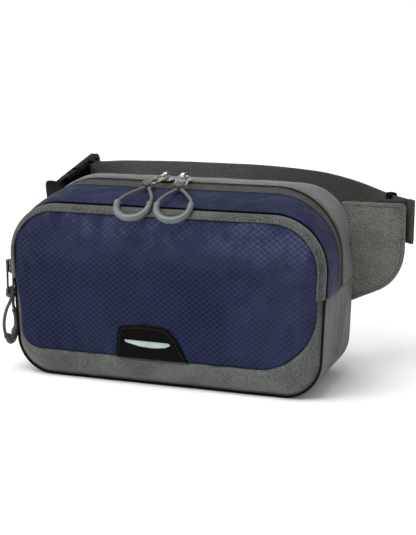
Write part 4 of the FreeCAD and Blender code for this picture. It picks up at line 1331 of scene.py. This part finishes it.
def belt():
    """The belt in one piece: from the right wing round the back, through the ladder and back as its tail."""
    start = wing_place("right", SEWN_FROM, BACK_FACE + WEB_THICK / 2)
    plan = [start, BELT_TURN, BELT_SHOULDER, BELT_REAR_RIGHT, BELT_REAR_LEFT]
    out = flat_run(plan, [0, *BELT_RADII, 0])
    out = with_height(out, belt_top(out[:, 0]) - WEBBING / 2)
    turn, shoulder = np.array(BELT_TURN), np.array(BELT_SHOULDER)
    tip = turn + unit(turn - shoulder) * TAIL_OVERHANG
    back = flat_run([tip, *plan[2:]], [0, *BELT_RADII[1:], 0], WEB_THICK + LAYER_GAP)
    back = with_height(back, belt_top(back[:, 0]) - WEBBING / 2)[::-1]
    bend = 2.5 + WEB_THICK / 2
    centre = BUCKLE_END - BUCKLE_ALONG * LADDER_BAR - BUCKLE_THROUGH
    enter, leave = centre - BUCKLE_ALONG * bend, centre + BUCKLE_ALONG * bend
    near_in, near_out = enter + BUCKLE_THROUGH * 10, leave + BUCKLE_THROUGH * 10
    run = unit(out[-1] - out[-2])
    lead_in = ease(out[-1], near_in, run, -BUCKLE_THROUGH, LEAD_POINTS)
    lead_out = ease(near_out, back[0], BUCKLE_THROUGH, unit(back[1] - back[0]), LEAD_POINTS)
    angles = np.linspace(0, math.pi, 11)
    loop = [centre - bend * (BUCKLE_ALONG * math.cos(a) + BUCKLE_THROUGH * math.sin(a)) for a in angles]
    line = np.concatenate([out, lead_in, [near_in], loop, [near_out], lead_out, back])
    rise = np.linspace(0, 1, LEAD_POINTS)[1:-1]
    stretches = (np.zeros(len(out)), rise, np.ones(len(loop) + 2), rise[::-1], np.zeros(len(back)))
    made = ribbon("belt_strap", line, turned_ups(np.concatenate(stretches)), BELT)
    rear = out[np.argmin(np.abs(out[:, 0] - LEAD_FROM))]
    rear * MM
    near_in * MM
    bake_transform(made)
    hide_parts("belt_webbing", "belt_tail", "belt_lead")
    return back


def tail_hem(back):
    """The tail's end, folded over once and sewn down."""
    length = run_lengths(back)[-1] - run_lengths(back)
    run = back[length <= HEM]
    out = np.cross(unit(np.gradient(run, axis=0)), UP)
    if out[:, 0].mean() < 0:
        out = -out
    fold = run + out * (WEB_THICK + 0.02)
    settle(ribbon("belt_tail_hem", fold, UP, BELT), "bag", "webbing")
    for name, at in HEM_STITCHES:
        i = round((len(fold) - 1) * at)
        line = fold[i] + out[i] * WEB_THICK / 2 + UP * np.linspace(-16, 16, 24)[:, None]
        stitch_row(f"belt_tail_stitches_{name}", line, out[i], THREAD_DARK, "webbing")


def wing_stitches(side, depth, z):
    """The box of stitches that sews webbing to a wing's inner face."""
    left, right, half = BOX
    low, high = z - half, z + half
    corners = [(left, low), (right, low), (right, high), (left, high), (left, low), (right, high)]
    line = on_wing(side, resample(corners, 70), depth)
    stitch_row(f"wing_{side}_box_stitches", line, wing_inward(side), THREAD_DARK, "webbing")


def wing_loop():
    """The doubled webbing from the left wing's tip to the socket's bar."""
    sewn = BACK_FACE + WEB_THICK
    start = wing_place("left", SEWN_FROM, sewn)
    turn = wing_place("left", WING_REACH + 8, sewn)
    stop = BUCKLE_FOOT[:2]
    gap = WEB_THICK / 2 + 0.05
    bend = 2.0 + WEB_THICK / 2
    sides = []
    for offset in (-gap, gap):
        flat = flat_run([start, turn, stop], [0, 4.0, 0], offset)
        length = run_lengths(flat)[-1] - run_lengths(flat)
        sides.append(with_height(flat, BUCKLE_FOOT[2])[length > 6.0])
    ahead = unit(np.array([*(stop - np.array(turn)), 0.0]))
    side = np.cross(ahead, UP)
    angles = np.linspace(-2.4, 2.4, 17)
    eye = [BUCKLE_FOOT + bend * (ahead * math.cos(a) + side * math.sin(a)) for a in angles]
    line = np.concatenate([sides[0], eye, sides[1][::-1]])
    nearness = 1 - np.linalg.norm(line - BUCKLE_FOOT, axis=1) / 28
    made = ribbon("wing_loop_strap", line, turned_ups(nearness), BLACK_WEB)
    points = np.array([v.co for v in made.data.vertices]) / MM
    past = np.linalg.norm(points[:, :2] - stop, axis=1)
    near = bell(np.linalg.norm(points[:, :2] - turn, axis=1), 5.0)
    # the upper corner at the wing's tip droops
    points[:, 2] -= 7.0 * near * smooth((points[:, 2] - BUCKLE_FOOT[2]) / 24)
    # the strap rises just past the socket, and falls again towards the wing
    points[:, 2] += 6.0 * smooth((past - 4) / 10) - 7.0 * smooth((past - 20) / 26)
    made.data.vertices.foreach_set("co", (points * MM).astype(np.float32).ravel())
    settle(made, "bag", "webbing", "wing_loop_left")


def keeper():
    """The elastic loop round the belt and its tail."""
    turn = np.array(BELT_TURN)
    along = unit(BELT_SHOULDER - turn)
    across = np.array((along[1], -along[0], 0.0))
    middle = np.array((*(turn + along * KEEPER_AT), BELT_TOP_Z[-1] + 0.4 - WEBBING / 2))
    middle += across * (WEB_THICK + LAYER_GAP) / 2
    wide = WEB_THICK + LAYER_GAP / 2 + 0.8 + KEEPER_THICK / 2
    high = (WEBBING + 2.6 + KEEPER_THICK) / 2
    corners = [(-wide, -high), (wide, -high), (wide, high), (-wide, high)]
    once = rounded(corners, [1.6] * 4, step=0.4)
    ring = resample(np.concatenate([once, once]), 241)[:121]  # once round, and the first place again
    span = np.linspace(-KEEPER_HALF, KEEPER_HALF, 9)
    rim = [(w, 1) for w in span] + [(w, -1) for w in span[::-1]]  # place across the elastic, and its face
    points, uv = [], []
    for i, place in enumerate(ring[:-1]):
        out = unit(ring[i + 1] - ring[i - 1])
        out = np.array((out[1], -out[0]))
        for w, face in rim:
            lift = face * KEEPER_THICK / 2 * (1 - 0.35 * (abs(w) / KEEPER_HALF) ** 6)
            a, z = place + out * lift
            points.append(middle + across * a + UP * z + np.array((*along, 0.0)) * w)
            uv.append((i * 0.75, w))  # 0.75 mm of cloth from one place to the next
    rows, columns = len(ring) - 1, len(rim)
    faces = grid_faces(rows, columns, wrap=True)
    last = (rows - 1) * columns
    faces += [(last + c, last + (c + 1) % columns, (c + 1) % columns, c) for c in range(columns)]
    made = mesh_object("belt_keeper_elastic", points, faces, ELASTIC, uv)
    tidy_normals(made)
    settle(made, "belt_keeper", "elastic_black", "belt_keeper")


tail_hem(belt())
wing_loop()
wing_stitches("left", BACK_FACE + 2 * WEB_THICK + 0.1, BUCKLE_FOOT[2])
wing_stitches("right", BACK_FACE + WEB_THICK, BELT_TOP_Z[-1] - WEBBING / 2)
keeper()


# --- hard parts ---
def dress(node, look, slot, bevel):
    """Gives a CAD part its material and softens its edges. Its mesh stays as it is."""
    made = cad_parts[node]
    made.data.materials.clear()
    made.data.materials.append(look)
    weld = made.modifiers.new("weld", "WELD")
    weld.merge_threshold = 0.005 * MM
    if bevel:
        rounding = made.modifiers.new("rounding", "BEVEL")
        rounding.width = bevel * MM
        rounding.segments = 3
        rounding.limit_method = "ANGLE"
        rounding.angle_limit = math.radians(35)


BUCKLE = ("buckle_socket", "buckle_plug", "buckle_prong_upper", "buckle_prong_lower")
HARD_PARTS = (  # look, slot, rounding of edges, nodes
    (BLACK_PLASTIC, "buckle_black", 0.9, BUCKLE),
    (METAL, "slider_metal", 0.3, ("main_slider_left", "main_slider_right")),
    (METAL, "slider_metal", 0, ("main_pull_left_ring", "main_pull_right_ring")),
    (DARK_METAL, "slider_metal", 0.3, ("pocket_slider",)),
    (DARK_METAL, "slider_metal", 0, ("pocket_pull_ring",)),
)
for look, slot, bevel, nodes in HARD_PARTS:
    for node in nodes:
        dress(node, look, slot, bevel)


# --- floor and light ---
FLOOR_REACH = 300.0  # metres


def add_floor():
    mesh = bpy.data.meshes.new("floor")
    corners = [(FLOOR_REACH * x, FLOOR_REACH * y, 0) for x, y in ((-1, -1), (1, -1), (1, 1), (-1, 1))]
    mesh.from_pydata(corners, [], [(0, 1, 2, 3)])
    mesh.materials.append(Look("floor_white", 0.9, 0.0, Base_Color=(0.92, 0.92, 0.92, 1.0)).material)
    add_object("floor", mesh)


def add_sky():
    """A soft sky that is bright along the horizon."""
    world = bpy.data.worlds.new("studio")
    world.use_nodes = True
    tree = world.node_tree
    back = tree.nodes["Background"]
    back.inputs["Color"].default_value = (1.0, 1.0, 1.0, 1.0)
    apart = tree.nodes.new("ShaderNodeSeparateXYZ")
    tree.links.new(tree.nodes.new("ShaderNodeTexCoord").outputs["Generated"], apart.inputs[0])
    fade = tree.nodes.new("ShaderNodeMapRange")
    for key, value in (("From Min", 0.03), ("From Max", 0.16), ("To Min", 1.1), ("To Max", 0.55)):
        fade.inputs[key].default_value = value
    tree.links.new(apart.outputs["Z"], fade.inputs["Value"])
    tree.links.new(fade.outputs[0], back.inputs["Strength"])
    bpy.context.scene.world = world


def add_lights():
    """A broad sun from above, left of the front, and a soft lamp on that side."""
    data = bpy.data.lights.new("sun", "SUN")
    data.energy = 2.4
    data.angle = math.radians(46)
    look_along(add_object("sun", data), (0.22, 0.36, -0.9))
    data = bpy.data.lights.new("left_front", "AREA")
    data.size = 0.5
    data.energy = 3
    lamp = add_object("left_front", data)
    lamp.location = (-0.9, -1.0, 0.9)
    look_along(lamp, Vector((0, 0, 0.1)) - lamp.location)
    bpy.context.scene.view_settings.view_transform = "Standard"


add_floor()
add_sky()
add_lights()
